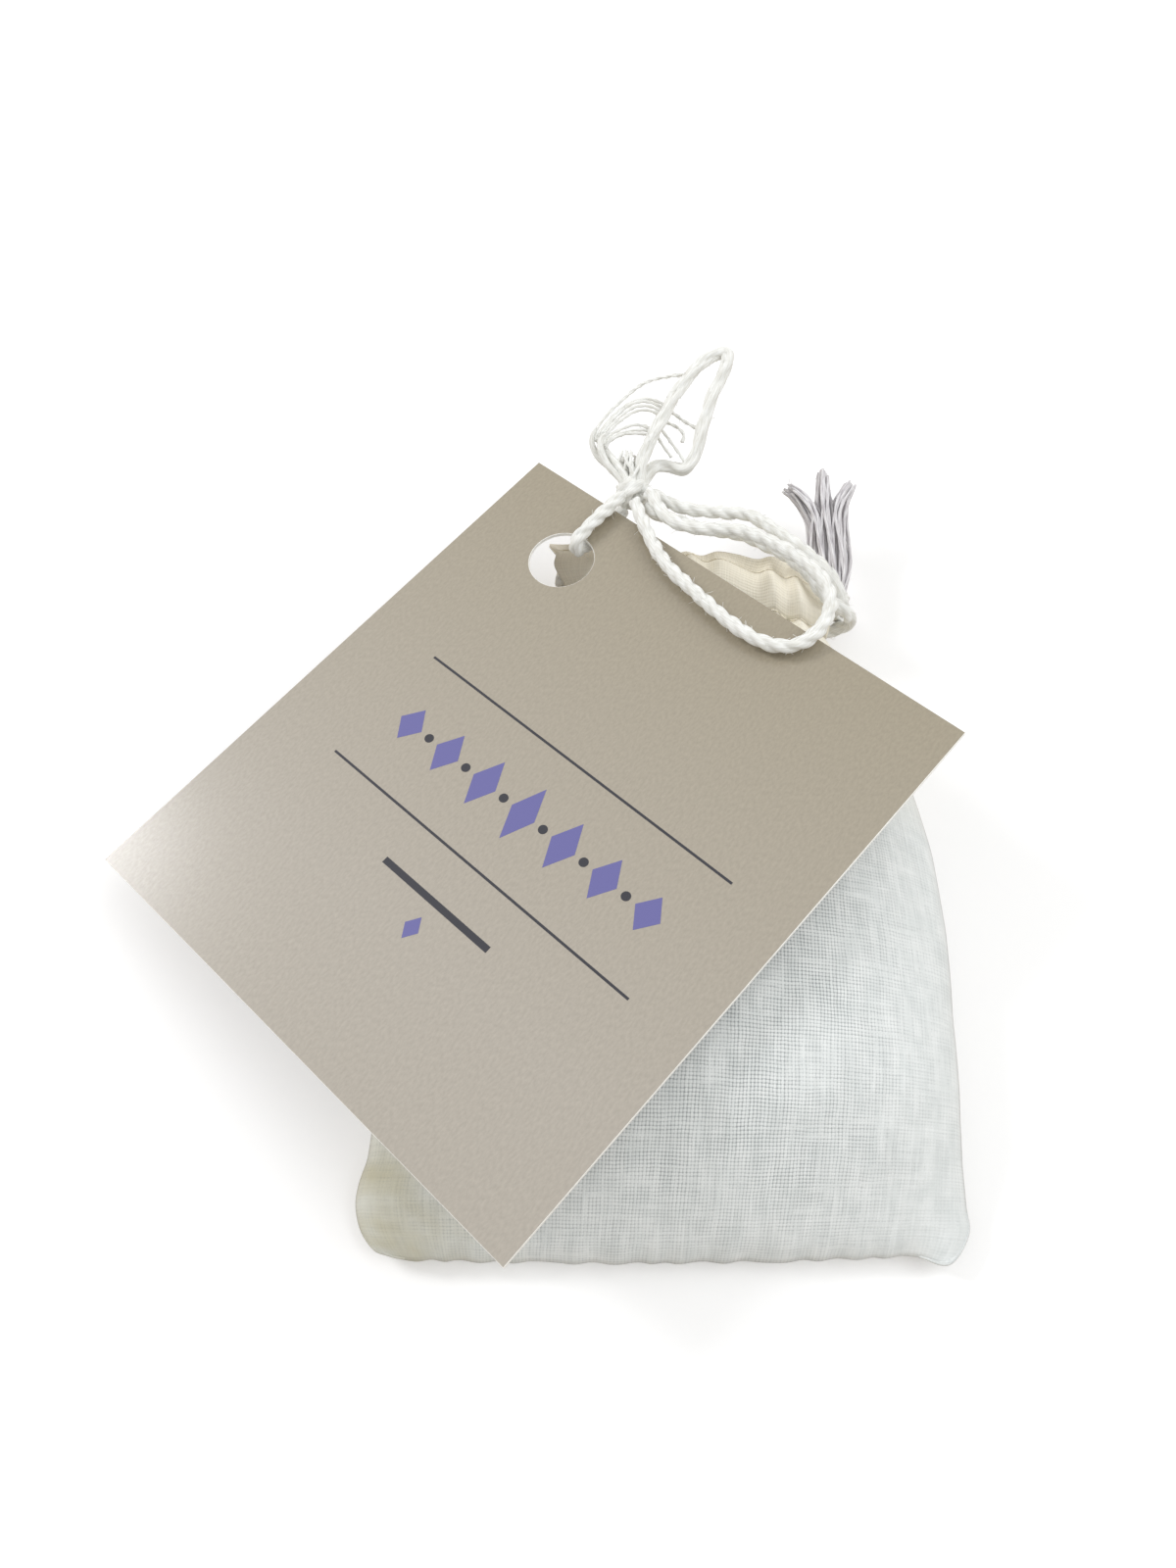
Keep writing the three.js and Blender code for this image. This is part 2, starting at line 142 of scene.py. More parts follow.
# Muslin bag: two panels of cotton muslin, sewn together at the sides and the bottom, turned and filled. Each
# runs on through a hem channel, between two rows of stitching, to a ruffle. It is simulated whole from its
# flat cut and then parted at the rows. Lengths are in millimetres, and stations run up from the bottom.
MM = 0.001
CUT_WIDTH = 66.0
BOTTOM_EDGE = -42.5
BAG_LENGTH = 75.5
BELLY_STATION = 33.0
HIP_STATION = 9.0
OUTLINE = [(0, 30.4), (HIP_STATION, 30.8), (BELLY_STATION, 30.0), (63.5, 24.0), (BAG_LENGTH, 16.4)]
LEFT_CORNER = ((0, 1.5, 3, 5, 7, 9, 12), (1.5, 0.2, -0.6, -1.1, -0.8, -0.1, 0.1))
RIGHT_EDGE = ((0, 1.2, 2.6, 4, 6, 9, 14, 26, 36, 46, 58), (-0.6, 0.8, 1.5, 1.0, 0.7, 0.3, 0, 0, 0.7, 0.8, 0))
LEFT_CORNER_LIFT = 0.4
RIGHT_CORNER_DROP = 1.2
BOTTOM_SEAM_HEIGHT = 2.4
SIDE_SEAM_HEIGHT = 5.5
NECK_HEIGHT = 5.9
CROWN_RISE = 10.4
NECK_RISE = 4.4
BACK_DROP = 9.0
CROWN_FULLNESS = 2.4
BACK_FULLNESS = 4.0
ROUNDNESS = 0.6
BOTTOM_PULL = -0.7
BOTTOM_SKEW = 0.075
NECK_SKEW = -0.14
NECK_OFFSET = 1.0
SEAM_PUCKER = (0.16, 0.22)
CHANNEL_BASE = 33.3
CHANNEL_HEIGHT = 5.4
CHANNEL_HALF_WIDTH = 15.4
CHANNEL_ARCH = 3.9
MOUTH_HALF_GAP = 2.0
CHANNEL_BULGE = 1.3
INNER_BULGE = 0.4
CORD_CLEARANCE = 1.15
STITCH_OFFSET = 0.5
RUFFLE_HEIGHT = 2.0
RUFFLE_FLARE = 1.4
RUFFLE_SHARE = ((-1, -0.5, -0.1, 0.3, 0.7, 1), (0.6, 0.35, 0.4, 1.1, 1.4, 1.2))
LEFT_END_REACH = 2.6
FOLD_COUNT = 7
FOLD_SHARE = 0.75
FOLDS_START = 26
CROWN_TAKE_UP = 4
GATHERED_WIDTH = 36
BACK_LIFT_LENGTH = 12
COLUMNS = 72
BAG_ROWS = 84
CHANNEL_ROWS = 8
RUFFLE_ROWS = 6
NECK_ROW = BAG_ROWS
TOP_ROW = BAG_ROWS + CHANNEL_ROWS
CLOTH_THICKNESS = 0.3
RUFFLE_THICKNESS = 1.3 * CLOTH_THICKNESS
SIM_SCALE = 20
SIM_FRAMES = 24
MOST_MOVED = 2.6
CLOTH_SETTINGS = {
    "quality": 8, "mass": 0.3, "tension_stiffness": 40, "compression_stiffness": 40, "shear_stiffness": 10,
    "bending_stiffness": 0.8, "air_damping": 2, "pin_stiffness": 1.0,
}
CLOTH_HOLD = 0.42
SIDE_HOLD = 0.8
BOTTOM_HOLD = 0.75
RUFFLE_HOLD = 0.25
STITCH_HOLD = 1.0
columns_across = np.linspace(-1, 1, COLUMNS + 1)


def step(value, start, end):
    """A smooth rise from 0 at the start to 1 at the end."""
    share = np.clip((np.asarray(value, float) - start) / (end - start), 0, 1)
    return share * share * (3 - 2 * share)


def length_along(line):
    """The length of a line up to each of its points."""
    return np.concatenate([[0], np.cumsum(np.linalg.norm(np.diff(line, axis=0), axis=1))])


def smooth_route(points, spacing):
    """Evenly spaced points on the smooth curve through the given ones."""
    points = np.array(points, float)
    points = np.vstack([2 * points[0] - points[1], points, 2 * points[-1] - points[-2]])
    share = np.linspace(0, 1, 16, endpoint=False)[:, None]
    fine = []
    for a, b, c, d in zip(points, points[1:], points[2:], points[3:]):
        before, here, after = (math.sqrt(max(np.linalg.norm(v), 1e-9)) for v in (b - a, c - b, d - c))
        leave = ((b - a) / before - (c - a) / (before + here) + (c - b) / here) * here
        enter = ((c - b) / here - (d - b) / (here + after) + (d - c) / after) * here
        cubic = 2 * b - 2 * c + leave + enter
        square = 3 * c - 3 * b - 2 * leave - enter
        fine.append(b + share * (leave + share * (square + share * cubic)))
    fine = np.vstack([*fine, points[-2]])
    along = length_along(fine)
    even = np.linspace(0, along[-1], max(2, round(along[-1] / spacing) + 1))
    return np.stack([np.interp(even, along, axis) for axis in fine.T], 1)


def half_width(station):
    """Half the width of the filled bag at a station."""
    edge = smooth_route(OUTLINE, 0.5)
    return np.interp(station, edge[:, 0], edge[:, 1])


def rounded(share):
    """The rounded rise of the cloth from the bottom seam to the belly."""
    return (1 - (1 - np.clip(share, 0, 1)) ** CROWN_FULLNESS) ** ROUNDNESS


def channel_arch(across):
    """How far the middle of the channel stands off the neck's own middle."""
    return MOUTH_HALF_GAP + (CHANNEL_ARCH - MOUTH_HALF_GAP) * (1 - np.abs(across) ** 3)


def fold_wave(across, side):
    """Uneven gathers of the cloth, from -1 to 1: no two folds are alike, nor the front's and the back's."""
    drift = 1.5 * np.sin(2.3 * across + 0.5 * side) + 1.3 * np.sin(5.2 * across + 1.9 * side)
    turn = math.pi * FOLD_COUNT * across + (drift + 0.8 * np.sin(9.7 * across))
    size = 0.72 + 0.2 * np.sin(7.1 * across - side) + 0.16 * np.sin(15.3 * across + 2 * side)
    return size * (np.cos(turn) + 0.18 * np.cos(2 * turn + side))


def bag_start(side):
    """The bag cloth of one panel before it is simulated; side is 1 for the front and -1 for the back."""
    across, station = np.meshgrid(columns_across, np.linspace(0, BAG_LENGTH, BAG_ROWS + 1))
    neck = step(station, BELLY_STATION, BAG_LENGTH)
    bottom = 1 - step(station, 0, BELLY_STATION)
    half = half_width(station)
    x = NECK_OFFSET * neck + across * half
    slant = BOTTOM_SKEW * bottom + NECK_SKEW * neck
    y = BOTTOM_EDGE + station + BOTTOM_PULL * (1 - across ** 2) * bottom + slant * x
    left = step(-across, 0.6, 1)
    right = step(across, 0.86, 1)
    x = x + left * np.interp(station, LEFT_CORNER[0], LEFT_CORNER[1])
    x = x + right * np.interp(station, RIGHT_EDGE[0], RIGHT_EDGE[1])
    corners = LEFT_CORNER_LIFT * step(-across, 0.93, 1) - RIGHT_CORNER_DROP * right
    y = y + corners * (1 - step(station, 0, 3))
    pucker = 1 - step(station, 0, 2.5)
    ripple = 1.5 * x + 1.6 * np.sin(0.31 * x) + 0.8 * np.sin(0.83 * x)
    y = y + SEAM_PUCKER[0] * pucker * np.sin(ripple)
    seam = BOTTOM_SEAM_HEIGHT + (SIDE_SEAM_HEIGHT - BOTTOM_SEAM_HEIGHT) * step(station, 0, 2 * HIP_STATION)
    seam = seam + (NECK_HEIGHT - SIDE_SEAM_HEIGHT) * neck
    if side > 0:
        dome = (1 - np.abs(across) ** CROWN_FULLNESS) ** ROUNDNESS
        past = np.clip((station - BELLY_STATION) / (BAG_LENGTH - BELLY_STATION), 0, 1)
        rise = CROWN_RISE * rounded(station / BELLY_STATION)
        rise = rise + (NECK_RISE - CROWN_RISE) * (0.5 - 0.5 * np.cos(math.pi * past))
        z = seam + rise * dome
    else:
        dome = (1 - np.abs(across) ** BACK_FULLNESS) ** ROUNDNESS
        lifted = NECK_HEIGHT - CHANNEL_ARCH - STITCH_OFFSET
        drop = BACK_DROP * rounded(station / BELLY_STATION) * dome
        z = np.maximum(seam - drop, lifted * step(station, BAG_LENGTH - BACK_LIFT_LENGTH, BAG_LENGTH))
        z = np.where(np.abs(across) > 0.999, seam, z)
    spare = np.sqrt(np.maximum(CUT_WIDTH / (2 * half + CROWN_TAKE_UP) - 1, 0))
    depth = FOLD_SHARE * 2 * half / FOLD_COUNT / math.pi * spare * step(station, FOLDS_START, BAG_LENGTH)
    z = z + SEAM_PUCKER[1] * pucker * np.cos(ripple)
    z = z + side * depth * (1 - np.abs(across) ** 8) * fold_wave(across, side)
    return np.stack([x, y, z], 2)


def heading_start(side):
    """The hem channel and the ruffle of one panel before they are simulated."""
    across, row = np.meshgrid(columns_across, np.arange(1, CHANNEL_ROWS + RUFFLE_ROWS + 1))
    in_channel = np.clip(row / CHANNEL_ROWS, 0, 1)
    in_ruffle = np.clip((row - CHANNEL_ROWS) / RUFFLE_ROWS, 0, 1)
    neck_width = half_width(BAG_LENGTH)
    width = neck_width + (CHANNEL_HALF_WIDTH - neck_width) * np.sin(math.pi * in_channel / 2)
    width = width + RUFFLE_FLARE * in_ruffle
    left_end = step(-across, 0.8, 1)
    reach = LEFT_END_REACH * left_end * np.sin(math.pi * np.minimum(in_channel, 0.5))
    x = NECK_OFFSET + across * width - reach
    ruffle = RUFFLE_HEIGHT * np.interp(across, RUFFLE_SHARE[0], RUFFLE_SHARE[1])
    y = CHANNEL_BASE + CHANNEL_HEIGHT * in_channel + ruffle * in_ruffle + NECK_SKEW * x
    arch = channel_arch(across) * (1 - 0.8 * left_end)
    over_cord = np.sin(math.pi * in_channel) ** 0.6
    depth = FOLD_SHARE * 2 * width / FOLD_COUNT / math.pi * math.sqrt(CUT_WIDTH / GATHERED_WIDTH - 1)
    depth = depth * (1 - 0.3 * in_ruffle) * (1 - np.abs(across) ** 8)
    wave = depth * (fold_wave(across + 0.03 * in_ruffle, side) + 0.35 * over_cord)
    z = NECK_HEIGHT + side * (arch + STITCH_OFFSET + CHANNEL_BULGE * over_cord - 0.6 * in_ruffle + wave)
    return np.stack([x, y, z], 2)


def sewn(back, front):
    """The back panel's grid, with the front's values along the bottom and side seams."""
    back[0] = front[0]
    for edge in (0, COLUMNS):
        back[:NECK_ROW + 1, edge] = front[:NECK_ROW + 1, edge]
    return back


front, back = (np.concatenate([bag_start(side), heading_start(side)]) for side in (1, -1))
back = sewn(back, front)
flat_rise = np.concatenate([[0], np.cumsum(np.linalg.norm(np.diff(front, axis=0), axis=2).mean(1))])
flat_u, flat_v = np.meshgrid(np.linspace(-CUT_WIDTH / 2, CUT_WIDTH / 2, COLUMNS + 1), flat_rise)
flat_cut = np.stack([flat_u, flat_v], 2)


def grid_corners(values):
    """The four corners of each cell of a grid, anticlockwise."""
    return np.stack([values[:-1, :-1], values[:-1, 1:], values[1:, 1:], values[1:, :-1]], 2)


def grid_faces(number, flip):
    """The four-sided faces of a grid of vertex numbers."""
    quads = grid_corners(number).reshape(-1, 4)
    return (quads[:, ::-1] if flip else quads).tolist()


def simulate_bag(front, back):
    """Lets the sewn cloth settle from its start to the lengths of its flat cut, held at the stitching."""
    front_numbers = np.arange(flat_u.size).reshape(flat_u.shape)
    numbers = {1: front_numbers, -1: sewn(front_numbers + flat_u.size, front_numbers)}
    used = np.unique(np.concatenate([numbers[1].ravel(), numbers[-1].ravel()]))
    place = np.zeros((numbers[1].size * 2, 3))
    flat = np.zeros((numbers[1].size * 2, 3))
    for side, start in ((-1, back), (1, front)):
        place[numbers[side].ravel()] = start.reshape(-1, 3)
        flat[numbers[side].ravel(), :2] = flat_cut.reshape(-1, 2)
        flat[numbers[side].ravel(), 2] = 0.01 * side
    renumber = np.zeros(len(place), int)
    renumber[used] = np.arange(len(used))
    faces = grid_faces(renumber[numbers[1]], False) + grid_faces(renumber[numbers[-1]], True)
    mesh = bpy.data.meshes.new("bag_in_simulation")
    mesh.from_pydata((place[used] * MM * SIM_SCALE).tolist(), [], faces)
    bag = bpy.data.objects.new("bag_in_simulation", mesh)
    scene.collection.objects.link(bag)
    bag.shape_key_add(name="start")
    flat_key = bag.shape_key_add(name="flat_cut")
    flat_key.data.foreach_set("co", (flat[used] * MM * SIM_SCALE).ravel())
    flat_key.value = 0
    held = np.full(len(place), CLOTH_HOLD)
    held[numbers[1][:NECK_ROW, [0, COLUMNS]].ravel()] = SIDE_HOLD
    held[numbers[1][0]] = BOTTOM_HOLD
    for side in (1, -1):
        held[numbers[side][TOP_ROW + 1:].ravel()] = RUFFLE_HOLD
        held[numbers[side][[NECK_ROW, TOP_ROW]].ravel()] = STITCH_HOLD
    group = bag.vertex_groups.new(name="held")
    for number, weight in zip(renumber[used].tolist(), held[used].tolist()):
        group.add([number], weight, "REPLACE")
    cloth = bag.modifiers.new("cloth", "CLOTH")
    cloth.settings.rest_shape_key = flat_key
    cloth.settings.vertex_group_mass = "held"
    for name, value in CLOTH_SETTINGS.items():
        setattr(cloth.settings, name, value)
    cloth.settings.effector_weights.gravity = 0
    cloth.collision_settings.use_collision = False
    cloth.point_cache.frame_end = SIM_FRAMES
    for tick in range(1, SIM_FRAMES + 1):
        scene.frame_set(tick)
    settled = bag.evaluated_get(bpy.context.evaluated_depsgraph_get())
    moved = np.zeros(len(used) * 3)
    settled.data.vertices.foreach_get("co", moved)
    scene.frame_set(1)
    shift = moved.reshape(-1, 3) / MM / SIM_SCALE - place[used]
    length = np.linalg.norm(shift, axis=1, keepdims=True)
    place[used] += shift * np.minimum(1, MOST_MOVED / np.maximum(length, 1e-9))
    bpy.data.objects.remove(bag)
    return place[numbers[1]], place[numbers[-1]]


front, back = simulate_bag(front, back)
front[:, :, 2] = np.maximum(front[:, :, 2], CLOTH_THICKNESS)
back[:, :, 2] = np.maximum(back[:, :, 2], 0)

# Lie of the cloth: the buds inside show on the front panel as low soft lumps, and the cloth keeps clear of
# the tag, which lies flat on the crown of the bag.
LUMP_HEIGHT = 0.13
LUMP_WIDTH = 3.6
LUMPS_FROM = (1, 7)
LUMPS_TO = (45, 70)
TAG_CORNER = Vector((-20.0, 49.7, 13.321))
TAG_TURN = Euler((math.radians(3.4), math.radians(-7.0), math.radians(-38.7)), "XYZ")
TAG_WIDTH = 63.5
TAG_LENGTH = 71.1
CARD_THICKNESS = 0.5
TAG_CLEARANCE = 0.12
lumps = np.array([[noise.noise(Vector((x, y, 9)) / LUMP_WIDTH) for x, y, _ in row] for row in front])
off_seams = (1 - np.abs(columns_across) ** 6)[None] * (1 - step(flat_rise, *LUMPS_TO))[:, None]
front[..., 2] += LUMP_HEIGHT * lumps * off_seams * step(flat_rise, *LUMPS_FROM)[:, None]
tag_axes = np.array(TAG_TURN.to_matrix())
on_tag = (front - np.array(TAG_CORNER)) @ tag_axes
under_card = (on_tag[..., 0] > -1) & (on_tag[..., 0] < TAG_WIDTH + 1) & (on_tag[..., 1] < 1)
too_high = np.where(under_card, np.maximum(on_tag[..., 2] + CARD_THICKNESS + TAG_CLEARANCE, 0), 0)
front = front - too_high[..., None] * tag_axes[:, 2]


def muslin_material():
    """Plain-woven white cotton muslin: matt, each thread passing over one and under the next, with a pinhole
    at each corner between them. The pinholes are painted dark as shade seen through the cloth, deepest in the
    middle of the bag and fainter towards the sides and the bottom. Painted warm light turns the cloth cream
    towards the neck, painted warm shade tints the lower left corner olive in blotches, and soft diagonal
    blotches of painted shade stand for the lumps of the filling. Scales are in millimetres of the flat cut:
    threads 0.39 apart, slubs about 6 long, and faint streaks along the threads."""
    thread_pitch = 0.39
    neck = float(flat_rise[NECK_ROW])
    made, tree, shader = new_material(
        "plain_weave_cotton_muslin", {"Roughness": 0.92, "Specular IOR Level": 0.2, "Sheen Weight": 0.15},
    )
    flat = node(tree, "UVMap", uv_map="flat_cut_mm")
    waver = node(tree, "TexNoise", {"Vector": flat, "Scale": 0.2, "Detail": 3.0}, "Color")
    waver = node(tree, "VectorMath", {0: waver, "Scale": 0.55}, operation="SCALE")
    threads = node(tree, "VectorMath", {0: flat, 1: waver}, operation="ADD")
    threads = node(tree, "VectorMath", {0: threads, "Scale": math.pi / thread_pitch}, operation="SCALE")
    parts = node(tree, "SeparateXYZ", {0: threads}, None)
    warp = node(tree, "Math", {0: parts[0]}, operation="SINE")
    weft = node(tree, "Math", {0: parts[1]}, operation="SINE")
    heights = []
    for own, other, way in ((warp, weft, 0.5), (weft, warp, -0.5)):
        sign = node(tree, "Math", {0: own}, operation="SIGN")
        lean = node(tree, "Math", {0: sign, 1: other}, operation="MULTIPLY")
        rise = node(tree, "Math", {0: lean, 1: way, 2: 0.5}, operation="MULTIPLY_ADD")
        size = node(tree, "Math", {0: own}, operation="ABSOLUTE")
        width = node(tree, "Math", {0: size, 1: 0.6}, operation="POWER")
        heights.append(node(tree, "Math", {0: rise, 1: width}, operation="MULTIPLY"))
    height = node(tree, "Math", {0: heights[0], 1: heights[1]}, operation="MAXIMUM")
    slubs = []
    for stretch in ((2.2, 0.16, 1.0), (0.16, 2.2, 1.0)):
        place = node(tree, "Mapping", {"Vector": flat, "Scale": stretch})
        slubs.append(node(tree, "TexNoise", {"Vector": place, "Scale": 1.0, "Detail": 2.0}))
    slub = node(tree, "Math", {0: slubs[0], 1: slubs[1]}, operation="MAXIMUM")
    slub = node(tree, "MapRange", {"Value": slub, "From Min": 0.5, "From Max": 0.8, "To Max": 0.35})
    # Pinholes: painted shade seen through the gaps, fainter towards the sides and the bottom.
    cover = node(tree, "MapRange", {"Value": height, "From Max": 0.76})
    hole = node(tree, "Math", {0: 1.0, 1: cover}, operation="SUBTRACT")
    ends = node(tree, "SeparateXYZ", {0: flat}, None)
    off_middle = node(tree, "Math", {0: ends[0]}, operation="ABSOLUTE")
    clear = {"Value": off_middle, "From Min": 16.0, "From Max": 29.0, "To Min": 1.0, "To Max": 0.25}
    above = {"Value": ends[1], "From Max": 12.0, "To Min": 0.4}
    patch = node(tree, "TexNoise", {"Vector": flat, "Scale": 0.16, "Detail": 3.0})
    patch = {"Value": patch, "From Min": 0.3, "From Max": 0.6, "To Min": 0.6}
    for closing in (clear, above, patch):
        share = node(tree, "MapRange", closing)
        hole = node(tree, "Math", {0: hole, 1: share}, operation="MULTIPLY")
    hole = node(tree, "Math", {0: hole, 1: slub}, operation="SUBTRACT", use_clamp=True)
    # Soft diagonal blotches, lighter and darker: painted shade of the lumps of the filling.
    place = node(tree, "Mapping", {"Vector": flat, "Rotation": (0, 0, 0.7), "Scale": (0.55, 0.3, 1.0)})
    painted_lump_shade = node(tree, "TexNoise", {"Vector": place, "Scale": 1.0, "Detail": 3.0})
    painted_lump_shade = node(tree, "MapRange", {"Value": painted_lump_shade, "From Min": 0.35, "From Max": 0.65})
    body = node(tree, "Mix", {0: painted_lump_shade, 6: linear("#dfe3e2"), 7: linear("#eaedec")}, 2, data_type="RGBA")
    # Lower left corner: painted warm olive shade in soft blotches, fading up the bag and towards the middle.
    left = node(tree, "MapRange", {"Value": ends[0], "From Min": -13.0, "From Max": -30.0})
    corner_shade_blotches = node(tree, "TexNoise", {"Vector": flat, "Scale": 0.17, "Detail": 2.0})
    corner_shade_blotches = node(tree, "MapRange", {"Value": corner_shade_blotches, "From Min": 0.3, "From Max": 0.65, "To Min": 0.45})
    low = node(tree, "MapRange", {"Value": ends[1], "From Min": 36.0, "From Max": 10.0})
    corner = node(tree, "Math", {0: left, 1: corner_shade_blotches}, operation="MULTIPLY")
    corner = node(tree, "Math", {0: corner, 1: low}, operation="MULTIPLY")
    body = node(tree, "Mix", {0: corner, 6: body, 7: linear("#c3bfa9")}, 2, data_type="RGBA")
    # Towards the neck, threads and pinholes are painted cream: painted warm light.
    warm_light_near_neck = node(tree, "MapRange", {"Value": ends[1], "From Min": neck - 30, "From Max": neck + 4})
    thread = node(tree, "Mix", {0: warm_light_near_neck, 6: body, 7: linear("#faf4e4")}, 2, data_type="RGBA")
    shadow = {0: warm_light_near_neck, 6: linear("#596266"), 7: linear("#cdc3a8")}
    shadow = node(tree, "Mix", shadow, 2, data_type="RGBA")
    cloth = node(tree, "Mix", {0: hole, 6: thread, 7: shadow}, 2, data_type="RGBA")
    for stretch, least, most in (((3.6, 0.12, 1.0), 0.95, 1.03), ((0.12, 3.6, 1.0), 0.975, 1.02)):
        place = node(tree, "Mapping", {"Vector": flat, "Scale": stretch})
        streak = node(tree, "TexNoise", {"Vector": place, "Scale": 1.0, "Detail": 1.0})
        streak = {"Value": streak, "From Min": 0.3, "From Max": 0.7, "To Min": least, "To Max": most}
        streak = node(tree, "MapRange", streak)
        cloth = node(tree, "VectorMath", {0: cloth, "Scale": streak}, operation="SCALE")
    tree.links.new(cloth, shader.inputs["Base Color"])
    bump = node(tree, "Bump", {"Strength": 0.4, "Distance": 0.07 * MM, "Height": height})
    tree.links.new(bump, shader.inputs["Normal"])
    return made


muslin = muslin_material()


def finish_piece(piece, body, slot, *nodes):
    """A finished piece rides on its body and stands for its nodes. Its slot is not used."""
    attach(piece, body)
    if nodes:
        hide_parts(*nodes)
    return piece


def mesh_piece(name, places, faces, material):
    """A smooth mesh through places in millimetres."""
    mesh = bpy.data.meshes.new(name)
    mesh.from_pydata((places * MM).tolist(), [], faces)
    mesh.materials.append(material)
    mesh.shade_smooth()
    piece = bpy.data.objects.new(name, mesh)
    scene.collection.objects.link(piece)
    return piece


def cloth_piece(name, grid, flat, side, thickness=CLOTH_THICKNESS):
    """A sheet of muslin through a grid of places, with its flat places as its UV map."""
    number = np.arange(grid.shape[0] * grid.shape[1]).reshape(grid.shape[:2])
    piece = mesh_piece(name, grid.reshape(-1, 3), grid_faces(number, side < 0), muslin)
    corners = np.zeros(len(piece.data.loops), int)
    piece.data.loops.foreach_get("vertex_index", corners)
    flat_map = piece.data.uv_layers.new(name="flat_cut_mm")
    flat_map.uv.foreach_set("vector", flat.reshape(-1, 2)[corners].ravel())
    rounder = piece.modifiers.new("rounder", "SUBSURF")
    rounder.levels = 1
    rounder.render_levels = 1
    cloth = piece.modifiers.new("cloth", "SOLIDIFY")
    cloth.thickness = thickness * MM
    cloth.offset = -1
    bpy.context.view_layer.objects.active = piece
    for modifier in ("rounder", "cloth"):
        bpy.ops.object.modifier_apply(modifier=modifier)
    return piece


def channel_inside(outer, side):
    """The inner wall of a hem channel, from its top row down, bulged to keep clear of the cords in it."""
    share = np.linspace(0, 1, CHANNEL_ROWS + 1)[:, None]
    bulge = np.sin(math.pi * share)
    chord = outer[0] + (outer[-1] - outer[0]) * share[..., None]
    inner = chord - (outer - chord) * np.array([0, 0, 1.0])
    inner[..., 2] -= INNER_BULGE * side * bulge
    cords = NECK_HEIGHT * side + channel_arch(columns_across)
    inner[..., 2] -= side * np.maximum(inner[..., 2] * side - (cords - CORD_CLEARANCE), 0) * bulge ** 0.4
    return inner[-2::-1]


for label, side, grid in (("front", 1, front), ("back", -1, back)):
    panel = cloth_piece(f"{label}_muslin_panel", grid[:NECK_ROW + 1], flat_cut[:NECK_ROW + 1], side)
    finish_piece(panel, "bag", "muslin", f"{label}_panel")
    outer = grid[NECK_ROW:TOP_ROW + 1]
    walls = np.concatenate([outer, channel_inside(outer, side)])
    flat = flat_cut[NECK_ROW:TOP_ROW + 1]
    channel = cloth_piece(f"{label}_channel_cloth", walls, np.concatenate([flat, flat[-2::-1]]), side)
    finish_piece(channel, "bag", "muslin", f"{label}_hem_channel")
    ruffle = cloth_piece(f"{label}_ruffle_cloth", grid[TOP_ROW:], flat_cut[TOP_ROW:], side, RUFFLE_THICKNESS)
    finish_piece(ruffle, "bag", "muslin", f"{label}_ruffle")
    size = (CUT_WIDTH * MM, float(flat_rise[NECK_ROW]) * MM)

# Cotton cord: three plies of soft cotton yarn laid up together to the right, about 1.7 mm thick. Stray fibres
# stand off it everywhere, drawn thicker than real ones so that they show. The drawstrings run in the hem
# channel, round its left end, and leave it at the right.
CORD_DIAMETER = 1.7
CORD_LAY = 6.2
CORD_PITCH = 2.0
PLY_OFFSET = 0.41
CHANNEL_MIDDLE = 36.0
CHANNEL_REACH = 15.0
LEFT_TURN = 2.4
MOUTH_REACH = 0.6
RING_SPACING = 0.22
CORD_SIDES = 24
FIBRE_RADIUS = 0.025
FIBRE_REACH = 1.1
chance = random.Random(11)


def cotton_material(name, pale, deep, fibre_width):
    """Soft spun cotton: matt and slightly hairy. Fibres run along the yarn and shade it in fine streaks."""
    finish = {"Roughness": 0.9, "Specular IOR Level": 0.2, "Sheen Weight": 0.3}
    made, tree, shader = new_material(name, finish)
    along = node(tree, "UVMap", uv_map="around_along_mm")
    place = node(tree, "Mapping", {"Vector": along, "Scale": (1 / fibre_width, 0.1 / fibre_width, 1.0)})
    fibres = node(tree, "TexNoise", {"Vector": place, "Scale": 1.0, "Detail": 4.0})
    shade = node(tree, "MapRange", {"Value": fibres, "From Min": 0.3, "From Max": 0.65})
    yarn = node(tree, "Mix", {0: shade, 6: linear(deep), 7: linear(pale)}, 2, data_type="RGBA")
    tree.links.new(yarn, shader.inputs["Base Color"])
    bump = node(tree, "Bump", {"Strength": 0.5, "Distance": 0.1 * MM, "Height": fibres})
    tree.links.new(bump, shader.inputs["Normal"])
    return made


cord_cotton = cotton_material("three_ply_cotton_cord", "#f7f8f6", "#dbdad2", 0.16)


def axes_along(line):
    """Two unit axes square to a line at each of its points, which turn as little as they can."""
    ahead = np.gradient(line, axis=0)
    ahead /= np.linalg.norm(ahead, axis=1, keepdims=True)
    aside = np.empty_like(line)
    start = np.cross(ahead[0], (0, 0, 1) if abs(ahead[0, 2]) < 0.9 else (1, 0, 0))
    aside[0] = start / np.linalg.norm(start)
    for i in range(1, len(line)):
        turned = aside[i - 1] - ahead[i] * (aside[i - 1] @ ahead[i])
        aside[i] = turned / np.linalg.norm(turned)
    return aside, np.cross(ahead, aside)


def ring_faces(rings, sides):
    """The faces of a closed tube of rings, with its two ends."""
    number = np.arange(rings * sides).reshape(rings, sides)
    faces = grid_faces(np.concatenate([number, number[:, :1]], 1), False)
    return faces + [number[0, ::-1].tolist(), number[-1].tolist()]


